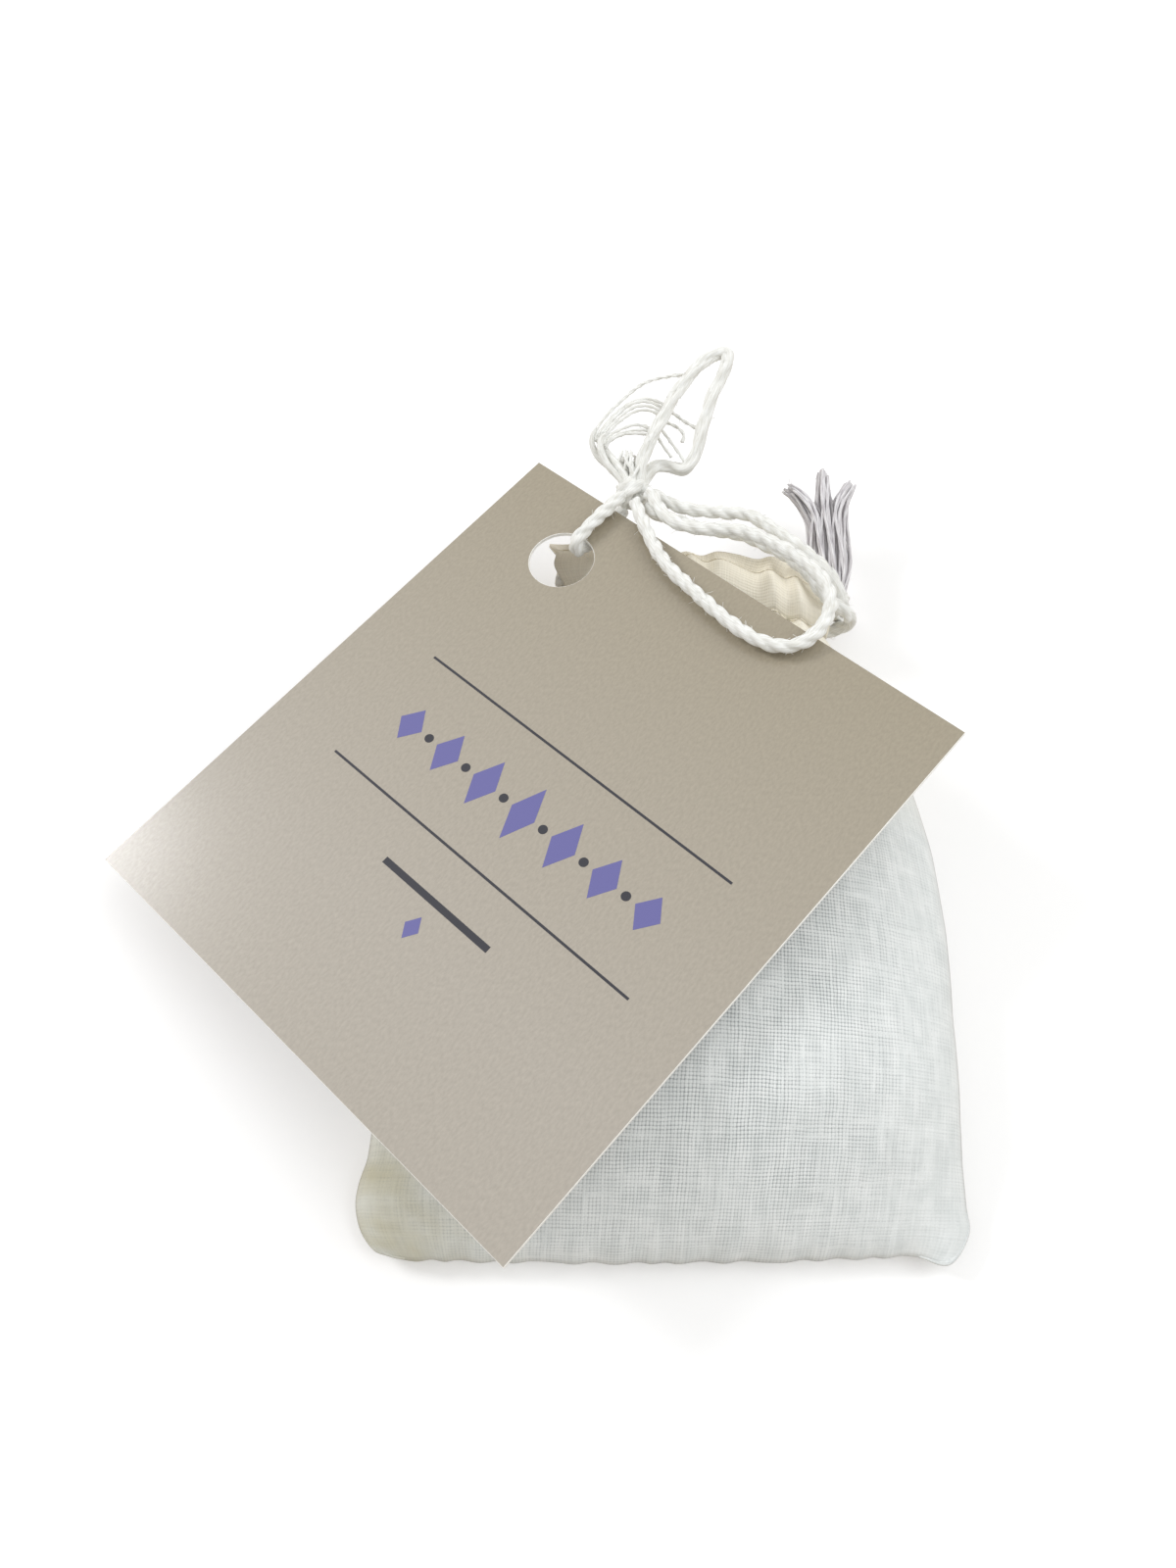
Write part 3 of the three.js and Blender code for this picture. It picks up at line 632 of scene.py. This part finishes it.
def tube(line, radius, sides):
    """Places, faces and UVs of a closed tube, whose radius may vary from ring to ring and side to side."""
    aside, over = axes_along(line)
    angle = np.linspace(0, 2 * math.pi, sides, endpoint=False)
    out = aside[:, None] * np.cos(angle)[:, None] + over[:, None] * np.sin(angle)[:, None]
    radius = np.asarray(radius, float)
    radius = np.broadcast_to(radius if radius.ndim == 2 else radius.reshape(-1, 1), (len(line), sides))
    places = (line[:, None] + out * radius[..., None]).reshape(-1, 3)
    girth = 2 * math.pi * float(radius.mean())
    u, v = np.meshgrid(np.linspace(0, girth, sides + 1), length_along(line))
    uv = grid_corners(np.stack([u, v], 2)).reshape(-1, 2)
    ends = [uv[0]] * sides + [uv[-1]] * sides
    return places, ring_faces(len(line), sides), np.concatenate([uv, ends])


def ply_section(line, diameter, lay, plies):
    """Radius of a laid cord at each ring and side: each ply is a round lobe, and the lobes wind along it."""
    angle = np.linspace(0, 2 * math.pi, CORD_SIDES, endpoint=False)[None]
    along = length_along(line)[:, None]
    sector = 2 * math.pi / plies
    off_ply = (angle - 2 * math.pi * along / lay + sector / 2) % sector - sector / 2
    lobe = np.sqrt((1 - PLY_OFFSET) ** 2 - (PLY_OFFSET * np.sin(off_ply)) ** 2)
    swell = 1 + 0.05 * np.sin(along * 1.3 + 2 * diameter)
    return diameter / 2 * (PLY_OFFSET * np.cos(off_ply) + lobe) * swell


def stray_fibres(line, radius, count, reach):
    """Short fine fibres that stand off a cord, each as a strand."""
    aside, over = axes_along(line)
    t = np.linspace(0, 1, 5)[:, None]
    strands = []
    for _ in range(count):
        i = chance.randrange(2, len(line) - 2)
        angle = chance.uniform(0, 2 * math.pi)
        out = aside[i] * math.cos(angle) + over[i] * math.sin(angle)
        along = (line[i + 1] - line[i - 1]) / np.linalg.norm(line[i + 1] - line[i - 1])
        along = along * chance.choice((-1, 1))
        long = reach * chance.uniform(0.4, 1.0)
        lift = chance.uniform(0.25, 0.8)
        bend = np.cross(along, out) * chance.uniform(-0.5, 0.5)
        fibre = t * along * (1 - 0.4 * lift) + lift * out * t ** 1.5 + bend * t * t
        strands.append((line[i] + out * radius * 0.8 + long * fibre, FIBRE_RADIUS, 3))
    return strands


def strand_piece(name, strands, material):
    """One mesh of tubes; a strand is its line, its radius and its number of sides."""
    places, faces, uvs = [], [], []
    count = 0
    for line, radius, sides in strands:
        made, quads, uv = tube(line, radius, sides)
        places.append(made)
        faces += [[i + count for i in face] for face in quads]
        uvs.append(uv + chance.uniform(0, 90))
        count += len(made)
    piece = mesh_piece(name, np.concatenate(places), faces, material)
    strand_map = piece.data.uv_layers.new(name="around_along_mm")
    strand_map.uv.foreach_set("vector", np.concatenate(uvs).ravel())
    return piece


def cord_strands(route, diameter=CORD_DIAMETER, lay=CORD_LAY, plies=3, hairs=2.5):
    """The line of a laid cord along a route, and the cord and its stray fibres as strands."""
    line = smooth_route(route, RING_SPACING)
    cord = (line, ply_section(line, diameter, lay, plies), CORD_SIDES)
    count = int(hairs * length_along(line)[-1])
    return line, [cord, *stray_fibres(line, diameter / 2, count, FIBRE_REACH)]


def laid_cord(name, route, body, nodes, **options):
    """A piece of laid cord along a route, and its line."""
    line, strands = cord_strands(route, **options)
    piece = strand_piece(name, strands, cord_cotton)
    return finish_piece(piece, body, "cotton_cord", *nodes), line


def channel_point(across, side, offset):
    """A place in the hem channel, off its middle by an offset towards the ruffle."""
    x = NECK_OFFSET + CHANNEL_REACH * across
    return np.array([x, CHANNEL_MIDDLE + offset + NECK_SKEW * x, NECK_HEIGHT + side * channel_arch(across)])


for label, offset in (("tied", -CORD_PITCH / 2), ("tail", CORD_PITCH / 2)):
    shares = np.linspace(1, -1, 9)
    front_run = [channel_point(share, 1, offset) for share in shares]
    back_run = [channel_point(share, -1, offset) for share in shares[::-1]]
    turn = (front_run[-1] + back_run[0]) / 2 - np.array([LEFT_TURN, 0, 0])
    reach = np.array([MOUTH_REACH, 0, 0])
    route = [front_run[0] + reach, *front_run, turn, *back_run, back_run[-1] + reach]
    laid_cord(f"{label}_drawstring_cord", route, "bag", [f"{label}_drawstring"], hairs=0.5)

# Hem stitching: cream cotton sewing thread in lockstitch, one row along each edge of the channel, front and
# back. It holds the turned-over cloth down and the cords in.
STITCH_LENGTH = 1.7
STITCH_PITCH = 2.5
STITCH_LIFT = 0.1
THREAD_RADIUS = 0.1
hem_thread = cotton_material("cream_hem_thread", "#faf4e4", "#eee6d0", 0.16)
strands = []
for side, grid in ((1, front), (-1, back)):
    for row in (NECK_ROW, TOP_ROW):
        for start in np.arange(-CUT_WIDTH / 2 + 1, CUT_WIDTH / 2 - 2, STITCH_PITCH):
            at = np.linspace(start, start + STITCH_LENGTH, 6)
            line = np.stack([np.interp(at, flat_u[0], axis) for axis in grid[row].T], 1)
            strands.append((line + np.array([0, 0, STITCH_LIFT * side]), THREAD_RADIUS, 6))
stitching = strand_piece("hem_stitching_thread", strands, hem_thread)
finish_piece(stitching, "bag", "cotton_cord")

# Tie: the two ends of the tied drawstring come over the neck to the knot, just off the tag's top edge. From
# there a short loop of cord holds the tag by its hole, a bow loop lies over the tag, and the other bow end
# folds back, half untwisted.
KNOT = np.array([-7.872, 44.351, 14.846])
HOLE = (12.9, -9.5)
LOOSE_LAY = 14.0


def from_knot(points):
    """Places given from the tie knot."""
    return [KNOT + np.array(point) for point in points]


def from_tag(points):
    """Places given from the tag's corner, along the tag's own axes."""
    return [np.array(TAG_CORNER) + tag_axes @ np.array(point) for point in points]


upper_route = [
    channel_point(1, 1, -CORD_PITCH / 2),
    (17.325, 32.76, 7.9), (18.4, 33.9, 9.0), (17.9, 35.3, 10.9), (15.6, 37.4, 12.2), (12.7, 39.6, 12.8),
    (9.7, 41.8, 12.9),
    *from_knot([
        (14.7, -0.8, -1.9), (11.5, -0.6, -1.9), (8.2, -0.5, -1.9), (5.1, 0.3, -2.0), (3.0, 1.0, -1.5),
        (2.0, 0.8, -1.1),
    ]),
]
lower_route = [
    channel_point(1, -1, -CORD_PITCH / 2),
    (17.325, 32.76, 3.9), (19.0, 33.0, 4.6), (20.3, 32.7, 6.8), (19.2, 32.3, 9.6), (16.6, 33.2, 11.2),
    (14.0, 36.1, 12.2), (11.9, 37.7, 12.6), (9.3, 39.0, 12.9), (7.1, 40.1, 12.9), (4.4, 40.9, 12.8),
    *from_knot([
        (8.3, -2.9, -2.2), (5.8, -1.9, -2.4), (3.4, -0.9, -2.6), (2.0, -0.6, -2.2), (1.2, -0.4, -1.7),
    ]),
]
loop_route = from_tag([
    (14.9, 1.9, 1.1), (15.8, 1.3, 1.2), (17.4, 0.3, 1.3), (19.4, -0.9, 1.3), (22.2, -2.3, 1.3),
    (25.1, -3.3, 1.3), (28.4, -3.9, 1.3), (32.2, -4.5, 1.3), (35.6, -4.9, 1.3), (38.8, -4.9, 1.3),
    (41.4, -4.2, 1.3), (43.0, -2.9, 1.3), (43.8, -0.9, 1.3), (43.7, 1.6, 1.3), (42.7, 4.0, 1.3),
    (40.8, 5.7, 1.3), (38.2, 6.6, 1.3), (35.2, 6.9, 1.3), (32.1, 6.8, 1.3), (29.3, 6.3, 1.3),
    (26.8, 5.2, 1.4), (23.9, 3.2, 1.4), (21.2, 2.3, 1.4), (18.9, 2.5, 1.3), (17.2, 3.2, 1.3),
    (16.2, 3.8, 1.2), (15.2, 3.9, 1.1),
])
tie_side = [
    (1.7, 1.0), (0.9, 1.15), (-1.365, 1.15), (-4.76, 1.15), (-6.75, 0.575), (-6.95, -0.25), (-6.75, -1.075),
    (-4.76, -1.65), (-1.365, -1.65), (0.9, -1.65), (1.7, -1.5),
]
tie_route = from_tag([(HOLE[0], y, z) for y, z in tie_side])
long_end_route = from_knot([
    (0.6, 1.5, 0.1), (0.8, 2.3, 0.3), (0.9, 3.9, 1.0), (1.6, 6.1, 2.0), (2.9, 9.0, 2.9), (4.5, 12.4, 3.9),
    (6.7, 15.7, 4.9), (8.9, 17.9, 5.4), (10.6, 18.4, 5.5), (10.9, 17.3, 5.4), (10.1, 15.0, 4.6),
    (9.0, 12.1, 3.6), (8.4, 9.7, 2.6), (7.9, 7.4, 1.4), (7.2, 5.3, 0.3), (6.2, 4.5, -0.3), (4.5, 5.1, -0.6),
    (2.8, 5.0, -0.7), (1.6, 3.4, -0.8), (1.0, 2.0, -0.7),
])
upper, upper_line = laid_cord("upper_strand_cord", upper_route, "bag", ["upper_tie_strand"])
lower, lower_line = laid_cord("lower_strand_cord", lower_route, "bag", ["lower_tie_strand"])
loop, loop_line = laid_cord("bow_loop_cord", loop_route, "bow", ["bow_loop"])
tie, _ = laid_cord("tag_tie_cord", tie_route, "tie", ["tag_tie"])
long_end, long_line = laid_cord("long_bow_end_cord", long_end_route, "bag", ["long_bow_end"], lay=LOOSE_LAY)

# Short bow end: the same cord, come quite untwisted. Its three plies part near the knot, and fan out at the
# bend into single yarns, which pass behind the long end.
PLY_RADIUS = 0.46
YARN_RADIUS = 0.2
short_route = from_knot([
    (-0.2, 0.8, -0.2), (-1.3, 2.5, 0.2), (-3.1, 4.1, 0.6), (-4.3, 5.5, 1.1), (-4.7, 6.8, 1.7),
    (-4.2, 8.0, 2.1),
])
fan_routes = [
    [
        (-4.9, 6.6, 1.5), (-4.6, 7.8, 1.7), (-2.7, 10.7, 2.2), (-0.8, 12.2, 2.7), (1.2, 12.7, 2.9),
        (2.9, 12.4, 2.6), (4.0, 11.7, 2.2),
    ],
    [
        (-4.7, 6.3, 1.5), (-4.4, 7.5, 1.7), (-2.5, 10.4, 2.3), (-0.6, 11.9, 2.8), (1.2, 12.3, 2.8),
        (2.9, 11.9, 2.4), (3.6, 11.3, 2.0),
    ],
    [
        (-4.5, 6.1, 1.5), (-4.2, 7.2, 1.7), (-2.3, 10.0, 2.2), (-0.4, 11.5, 2.6), (1.2, 11.8, 2.6),
        (2.8, 11.4, 2.3), (3.3, 11.0, 1.9),
    ],
    [
        (-4.2, 6.1, 1.6), (-3.9, 7.2, 1.7), (-2.0, 9.6, 2.2), (-0.1, 11.0, 2.5), (1.3, 11.2, 2.5),
        (2.6, 10.9, 2.2), (3.2, 10.4, 1.8),
    ],
    [(-4.1, 6.2, 1.5), (-3.5, 7.4, 1.6), (-1.7, 8.7, 1.8), (0.0, 9.2, 2.0), (1.7, 8.9, 1.8), (2.7, 8.6, 1.6)],
    [(-3.9, 5.9, 1.4), (-3.3, 7.1, 1.5), (-1.4, 8.2, 1.7), (0.3, 8.6, 1.8), (2.0, 8.5, 1.6), (2.6, 8.3, 1.4)],
    [(-3.7, 5.7, 1.4), (-3.2, 6.8, 1.5), (-1.6, 7.9, 1.6), (0.2, 8.1, 1.7), (1.8, 8.1, 1.5)],
    [(2.4, 9.2, 1.8), (3.0, 8.9, 1.8), (4.0, 7.7, 1.6), (5.0, 6.5, 1.2), (5.9, 5.6, 0.6), (6.3, 5.0, 0.3)],
    [(2.2, 8.6, 1.5), (2.6, 8.0, 1.6), (3.5, 6.7, 1.2), (4.6, 5.6, 0.5)],
]
short_line = smooth_route(short_route, 0.3)
aside, over = axes_along(short_line)
along_share = np.linspace(0, 1, len(short_line))[:, None]
strands = []
for k in range(3):
    angle = 2 * math.pi * (k / 3 + 0.55 * along_share)
    away = 0.42 + 0.5 * along_share ** 1.5
    ply = short_line + away * (aside * np.cos(angle) + over * np.sin(angle))
    strands.append((ply, PLY_RADIUS * np.minimum(1, 1.05 - along_share[:, 0] ** 6), 14))
    strands += stray_fibres(ply, PLY_RADIUS, 14, 1.2)
for route in fan_routes:
    line = smooth_route(from_knot(route), 0.25)
    strands.append((line, YARN_RADIUS * (1 + 0.15 * np.sin(5 * length_along(line))), 8))
    strands += stray_fibres(line, YARN_RADIUS, 8, 0.9)
short_end = strand_piece("short_bow_end_yarns", strands, cord_cotton)
finish_piece(short_end, "bag", "cotton_cord", "short_bow_end")

# Tie knot: the same cotton cord, wrapped twice round the bundle of strands and drawn up tight. Its own cut
# end, come apart into fine yarns, stands up behind.
KNOT_AXIS = (-0.62, 0.77, 0.12)
WRAP_RADIUS = 1.5
WRAP_PITCH = 0.7
WRAP_DIAMETER = 1.6
BUNDLE_DIAMETER = 1.5
CUT_END_YARNS = 24
CUT_END_SPREAD = 1.3
cut_end_route = from_knot([
    (0.2, 0.4, -0.3), (0.0, 1.6, 0.0), (-0.3, 3.1, 0.3), (-0.8, 4.6, 0.6), (-1.1, 5.7, 0.8),
])


def frayed_ply(route, count, spread):
    """Fine yarns side by side along a route, drawn together at its start and trimmed unevenly at its end."""
    line = smooth_route(route, 0.4)
    aside, over = axes_along(line)
    share = np.linspace(0, 1, len(line))[:, None]
    fullness = 0.45 + 0.6 * step(share, 0, 0.4) - 0.4 * step(share, 0.72, 1)
    strands = []
    for k in range(count):
        angle = 2.4 * k + 1.1 * share + 0.6 * np.sin(4 * share + k)
        away = spread * math.sqrt((k + 0.5) / count) * fullness
        yarn = line + away * (aside * np.cos(angle) + over * np.sin(angle))
        kept = yarn[: len(yarn) - chance.randrange(0, 4)]
        taper = YARN_RADIUS * np.minimum(1, (0.6 + len(kept) - np.arange(len(kept))) / 2.5)
        strands.append((kept, taper, 6))
    return strands + stray_fibres(line, 0.7 * spread, 26, 1.3)


def wrapped_knot(name, middle, axis, radius, nodes, extra=()):
    """Two turns of cord wound round a short bundle along an axis, with any other strands that are on it."""
    turn = Vector((0, 0, 1)).rotation_difference(Vector(axis)).to_matrix()
    helix = []
    for angle in np.linspace(-0.4, 4 * math.pi - 0.6, 34):
        rise = WRAP_PITCH * (angle / (2 * math.pi) - 1)
        around = Vector((radius * math.cos(angle), radius * math.sin(angle), rise))
        helix.append(middle + np.array(turn @ around))
    strands = cord_strands(helix, diameter=WRAP_DIAMETER)[1]
    for side in (-0.5, 0.5):
        inside = [Vector((side, 0.2 * side, rise)) for rise in (-1.9, -0.6, 0.6, 1.9)]
        bundle = [middle + np.array(turn @ place) for place in inside]
        strands += cord_strands(bundle, diameter=BUNDLE_DIAMETER)[1]
    piece = strand_piece(name, [*strands, *extra], cord_cotton)
    return finish_piece(piece, "bag", "cotton_cord", *nodes)


cut_end = frayed_ply(cut_end_route, CUT_END_YARNS, CUT_END_SPREAD)
knot = wrapped_knot("tie_knot_cord", KNOT, KNOT_AXIS, WRAP_RADIUS, ["tie_knot"], cut_end)

# Loose yarns: single two-ply cotton yarns, half a millimetre thick, that have come out of the short end and
# lie across the long one.
YARN_DIAMETER = 0.5
YARN_LAY = 2.4
yarn_routes = [
    [
        (2.9, 12.1, 2.3), (3.8, 11.6, 2.2), (4.7, 11.1, 2.1), (5.9, 10.2, 2.0), (7.4, 9.4, 1.8),
        (8.2, 9.0, 1.7),
    ],
    [(2.4, 10.5, 1.9), (3.3, 10.1, 1.9), (4.8, 9.4, 1.9), (5.7, 8.8, 1.7), (6.0, 8.2, 1.4), (5.8, 7.5, 1.2)],
    [
        (-4.9, 6.6, 1.6), (-5.1, 7.6, 1.8), (-4.2, 9.6, 2.2), (-1.9, 12.4, 2.9), (0.8, 14.6, 3.7),
        (3.9, 15.5, 4.1), (6.0, 15.8, 4.2),
    ],
]
for number, route in enumerate(yarn_routes, 1):
    yarn, _ = laid_cord(
        f"loose_yarn_{number}_cotton", from_knot(route), "bag", [f"loose_yarn_{number}"],
        diameter=YARN_DIAMETER, lay=YARN_LAY, plies=2, hairs=1.5,
    )

# Frayed tail: the second drawstring ends in a stopper knot at the right mouth, and its three plies have come
# untwisted into bundles of fine yarn. Their grey-lilac colour is painted shade.
TAIL_KNOT = np.array([18.7, 35.76, 5.9])
TAIL_AXIS = (0.2, 1.0, 0.2)
TAIL_WRAP_RADIUS = 1.05
PLY_YARNS = 22
PLY_SPREAD = 1.25
# Grey-lilac yarn colour: painted shade on white cotton.
frayed_cotton = cotton_material("frayed_cotton_yarn_painted_shade", "#f1f0f1", "#b3aeb2", 0.2)
ply_routes = [
    [
        (-0.3, 0.5, 0.1), (-0.7, 2.2, 0.4), (-1.7, 5.0, 0.8), (-2.3, 8.0, 1.3), (-2.8, 11.6, 2.0),
        (-3.8, 13.5, 2.3), (-5.2, 14.9, 2.6), (-6.8, 15.9, 2.9),
    ],
    [
        (0, 0.5, 0.1), (0, 2.3, 0.5), (-0.5, 5.0, 0.9), (-0.9, 8.0, 1.4), (-1.4, 12.0, 2.1),
        (-1.8, 15.5, 2.7), (-1.9, 18.6, 3.1),
    ],
    [
        (0.3, 0.5, 0.1), (0.7, 2.2, 0.4), (0.8, 5.0, 0.8), (0.5, 8.0, 1.3), (0.1, 12.0, 2.0),
        (0.5, 14.4, 2.4), (1.3, 16.2, 2.7), (1.8, 17.4, 2.9),
    ],
]
tail = [wrapped_knot("tail_knot_cord", TAIL_KNOT, TAIL_AXIS, TAIL_WRAP_RADIUS, ["tail_knot"])]
for number, route in enumerate(ply_routes, 1):
    strands = frayed_ply([TAIL_KNOT + np.array(point) for point in route], PLY_YARNS, PLY_SPREAD)
    ply = strand_piece(f"tail_ply_{number}_yarns", strands, frayed_cotton)
    tail.append(finish_piece(ply, "bag", "frayed_cotton", f"tail_ply_{number}"))

# Card tag: greige felt-marked card, half a millimetre thick, cut square with white cut edges. It hangs on the
# tie by a punched hole near one corner.
HOLE_DIAMETER = 8.0
EDGE_ROUND = 0.05
SHADE_LENGTH = 55
FELT_MARK = 0.3


def card_material(name, top, bottom, roughness):
    """Felt-marked card: short low marks pressed in by the felt, all one way, and a faint satin sheen. Its
    colour drifts a little from the top of the card to the bottom, a painted shade for how the light falls on
    it."""
    made, tree, shader = new_material(name, {"Roughness": roughness, "Specular IOR Level": 0.6})
    place = node(tree, "TexCoord", out="Object")
    lie = {"Vector": place, "Location": TAG_CORNER * MM, "Rotation": TAG_TURN}
    place = node(tree, "Mapping", lie, vector_type="TEXTURE")
    down = node(tree, "SeparateXYZ", {0: place}, 1)
    # Painted shade: the colour drifts from the top colour to the bottom one down the card.
    drift = node(tree, "MapRange", {"Value": down, "From Min": 0.0, "From Max": -SHADE_LENGTH * MM})
    face = node(tree, "Mix", {0: drift, 6: linear(top), 7: linear(bottom)}, 2, data_type="RGBA")
    felt = node(tree, "Mapping", {"Vector": place, "Rotation": (0, 0, 1.2), "Scale": (1.0, 0.5, 1.0)})
    marks = {"Vector": felt, "Scale": 1 / (FELT_MARK * MM), "Detail": 3.0, "Roughness": 0.6}
    marks = node(tree, "TexNoise", marks)
    grain = {"Value": marks, "From Min": 0.32, "From Max": 0.68, "To Min": 0.93, "To Max": 1.07}
    grain = node(tree, "MapRange", grain)
    face = node(tree, "VectorMath", {0: face, "Scale": grain}, operation="SCALE")
    tree.links.new(face, shader.inputs["Base Color"])
    bump = node(tree, "Bump", {"Strength": 0.04, "Distance": 0.1 * MM, "Height": marks})
    tree.links.new(bump, shader.inputs["Normal"])
    return made


bpy.ops.mesh.primitive_cylinder_add(
    vertices=96, radius=HOLE_DIAMETER / 2 * MM, depth=4 * CARD_THICKNESS * MM,
    location=(HOLE[0] * MM, HOLE[1] * MM, 0),
)
punch = bpy.context.object
bpy.ops.mesh.primitive_cube_add(size=1)
card = bpy.context.object
card.name = "tag_card_printed"
card.scale = (TAG_WIDTH * MM, TAG_LENGTH * MM, CARD_THICKNESS * MM)
card.location = (TAG_WIDTH / 2 * MM, -TAG_LENGTH / 2 * MM, -CARD_THICKNESS / 2 * MM)
bpy.ops.object.transform_apply(location=True, rotation=True, scale=True)
hole = card.modifiers.new("hole", "BOOLEAN")
hole.object = punch
hole.solver = "EXACT"
bpy.ops.object.modifier_apply(modifier="hole")
rim = card.modifiers.new("rim", "BEVEL")
rim.width = EDGE_ROUND * MM
rim.segments = 2
rim.limit_method = "ANGLE"
bpy.ops.object.modifier_apply(modifier="rim")
bpy.data.objects.remove(punch)
card.data.materials.append(card_material("greige_felt_marked_card", "#9d9481", "#aca59a", 0.2))
card.data.materials.append(card_material("white_cut_card_edge", "#fbfaf6", "#eeece6", 0.7))
for face in card.data.polygons:
    face.material_index = 0 if abs(face.normal.z) > 0.99 else 1
tag_place = Matrix.Translation(TAG_CORNER * MM) @ TAG_TURN.to_matrix().to_4x4()
card.data.transform(tag_place)
finish_piece(card, "tag", "tag_card", "tag_card")

# Printed band: a plain geometric band in matt charcoal and violet ink, of fine rules, lozenges and dots. Each
# ink is a thin raised layer on the card.
INK_HEIGHT = 0.03
INK_ROUGHNESS = 0.6
BAND_MIDDLE = (33.0, -37.0)


def ink_shape(kind, x, y, long, high):
    """One printed shape: a bar, or a lozenge or dot from a cylinder with few or many sides."""
    place = ((BAND_MIDDLE[0] + x) * MM, (BAND_MIDDLE[1] + y) * MM, 0)
    if kind == "bar":
        bpy.ops.mesh.primitive_cube_add(size=1, location=place)
    else:
        sides = 4 if kind == "lozenge" else 32
        bpy.ops.mesh.primitive_cylinder_add(vertices=sides, radius=0.5, depth=1, location=place)
    bpy.context.object.scale = (long * MM, high * MM, INK_HEIGHT * MM)
    return bpy.context.object


charcoal_shapes = [("bar", 0, 8.0, 45, 0.3), ("bar", 0, -8.0, 45, 0.3), ("bar", 0, -13.5, 16, 0.8)]
charcoal_shapes += [("dot", x, 0, 1.1, 1.1) for x in (-15, -9, -3, 3, 9, 15)]
violet_shapes = [("lozenge", x, 0, 3.4, 7.5 - 0.16 * abs(x)) for x in (-18, -12, -6, 0, 6, 12, 18)]
violet_shapes += [("lozenge", 0, -17.0, 2.0, 3.0)]
for label, shapes, colour in (("charcoal", charcoal_shapes, "#2c2c33"), ("violet", violet_shapes, "#66649c")):
    printed = [ink_shape(*shape) for shape in shapes]
    for shape in printed:
        shape.select_set(True)
    bpy.ops.object.join()
    bpy.ops.object.transform_apply(location=True, rotation=True, scale=True)
    ink = bpy.context.object
    ink.name = f"tag_ink_{label}"
    pigment, _, _ = new_material(f"{label}_ink", {"Base Color": linear(colour), "Roughness": INK_ROUGHNESS})
    ink.data.materials.append(pigment)
    ink.data.transform(tag_place)
    finish_piece(ink, "tag", "tag_card")

# Lavender filling: loose dried buds, poured in before the neck is tied, which fill the bag and press lightly
# on the cloth. A closed body just inside the cloth carries the buds that lie against it.
FILL_ROWS = (4, 64)
FILL_TIGHTNESS = 0.86
BUD_COUNT = 560
BUD_LENGTH = 4.2
BUD_WIDTH = 1.7
BUD_SETBACK = 0.85 * BUD_WIDTH
BUD_CLOUD = 3.5


def filling_shape():
    """Rings of places just inside the cloth, which close at both ends."""
    rows = np.arange(FILL_ROWS[0], FILL_ROWS[1] + 1)
    share = (rows - rows[0]) / (rows[-1] - rows[0])
    end = np.sqrt(np.maximum(1 - np.abs(2 * share - 1) ** 8, 0.02))[:, None, None]
    middle = (front[rows] + back[rows]) / 2
    centre = middle[:, COLUMNS // 2:COLUMNS // 2 + 1, 0]
    rings = []
    for panel, half in ((front[rows], middle), (back[rows][:, -2:0:-1], middle[:, -2:0:-1])):
        packed = half + (panel - half) * FILL_TIGHTNESS * end
        packed[..., 0] = centre + (packed[..., 0] - centre) * (0.9 + 0.05 * end[..., 0])
        rings.append(packed)
    return np.concatenate(rings, 1)


def bud_material():
    """Dried lavender: dull violet to grey-green buds, matt, shaded in clouds about the size of a bud."""
    made, tree, shader = new_material("dried_lavender_buds", {"Roughness": 0.9})
    place = node(tree, "TexCoord", out="Object")
    cloud = node(tree, "TexNoise", {"Vector": place, "Scale": 1 / (BUD_CLOUD * MM), "Detail": 2.0})
    shade = node(tree, "MapRange", {"Value": cloud, "From Min": 0.35, "From Max": 0.65})
    bud = node(tree, "Mix", {0: shade, 6: linear("#5b5675"), 7: linear("#8d8a7c")}, 2, data_type="RGBA")
    tree.links.new(bud, shader.inputs["Base Color"])
    return made


rings = filling_shape()
places = [rings.reshape(-1, 3)]
faces = ring_faces(*rings.shape[:2])
count = len(places[0])
bpy.ops.mesh.primitive_ico_sphere_add(subdivisions=2, radius=0.5)
ball = bpy.context.object
ball_places = np.array([vertex.co for vertex in ball.data.vertices])
ball_faces = [list(face.vertices) for face in ball.data.polygons]
bpy.data.objects.remove(ball)
for _ in range(BUD_COUNT):
    row = chance.randrange(4, rings.shape[0] - 6)
    place = rings[row, chance.randrange(rings.shape[1])]
    inward = rings[row].mean(0) - place
    place = place + inward / max(np.linalg.norm(inward), 1) * BUD_SETBACK
    lean = Euler((0, chance.uniform(-0.3, 0.3), chance.uniform(0, math.pi)))
    bud = ball_places * (BUD_LENGTH * chance.uniform(0.7, 1.0), BUD_WIDTH, BUD_WIDTH)
    places.append(bud @ np.array(lean.to_matrix()).T + place)
    faces += [[i + count for i in face] for face in ball_faces]
    count += len(ball_places)
fill = mesh_piece("lavender_bud_filling", np.concatenate(places), faces, bud_material())
finish_piece(fill, "bag", "lavender_buds", "lavender_filling")
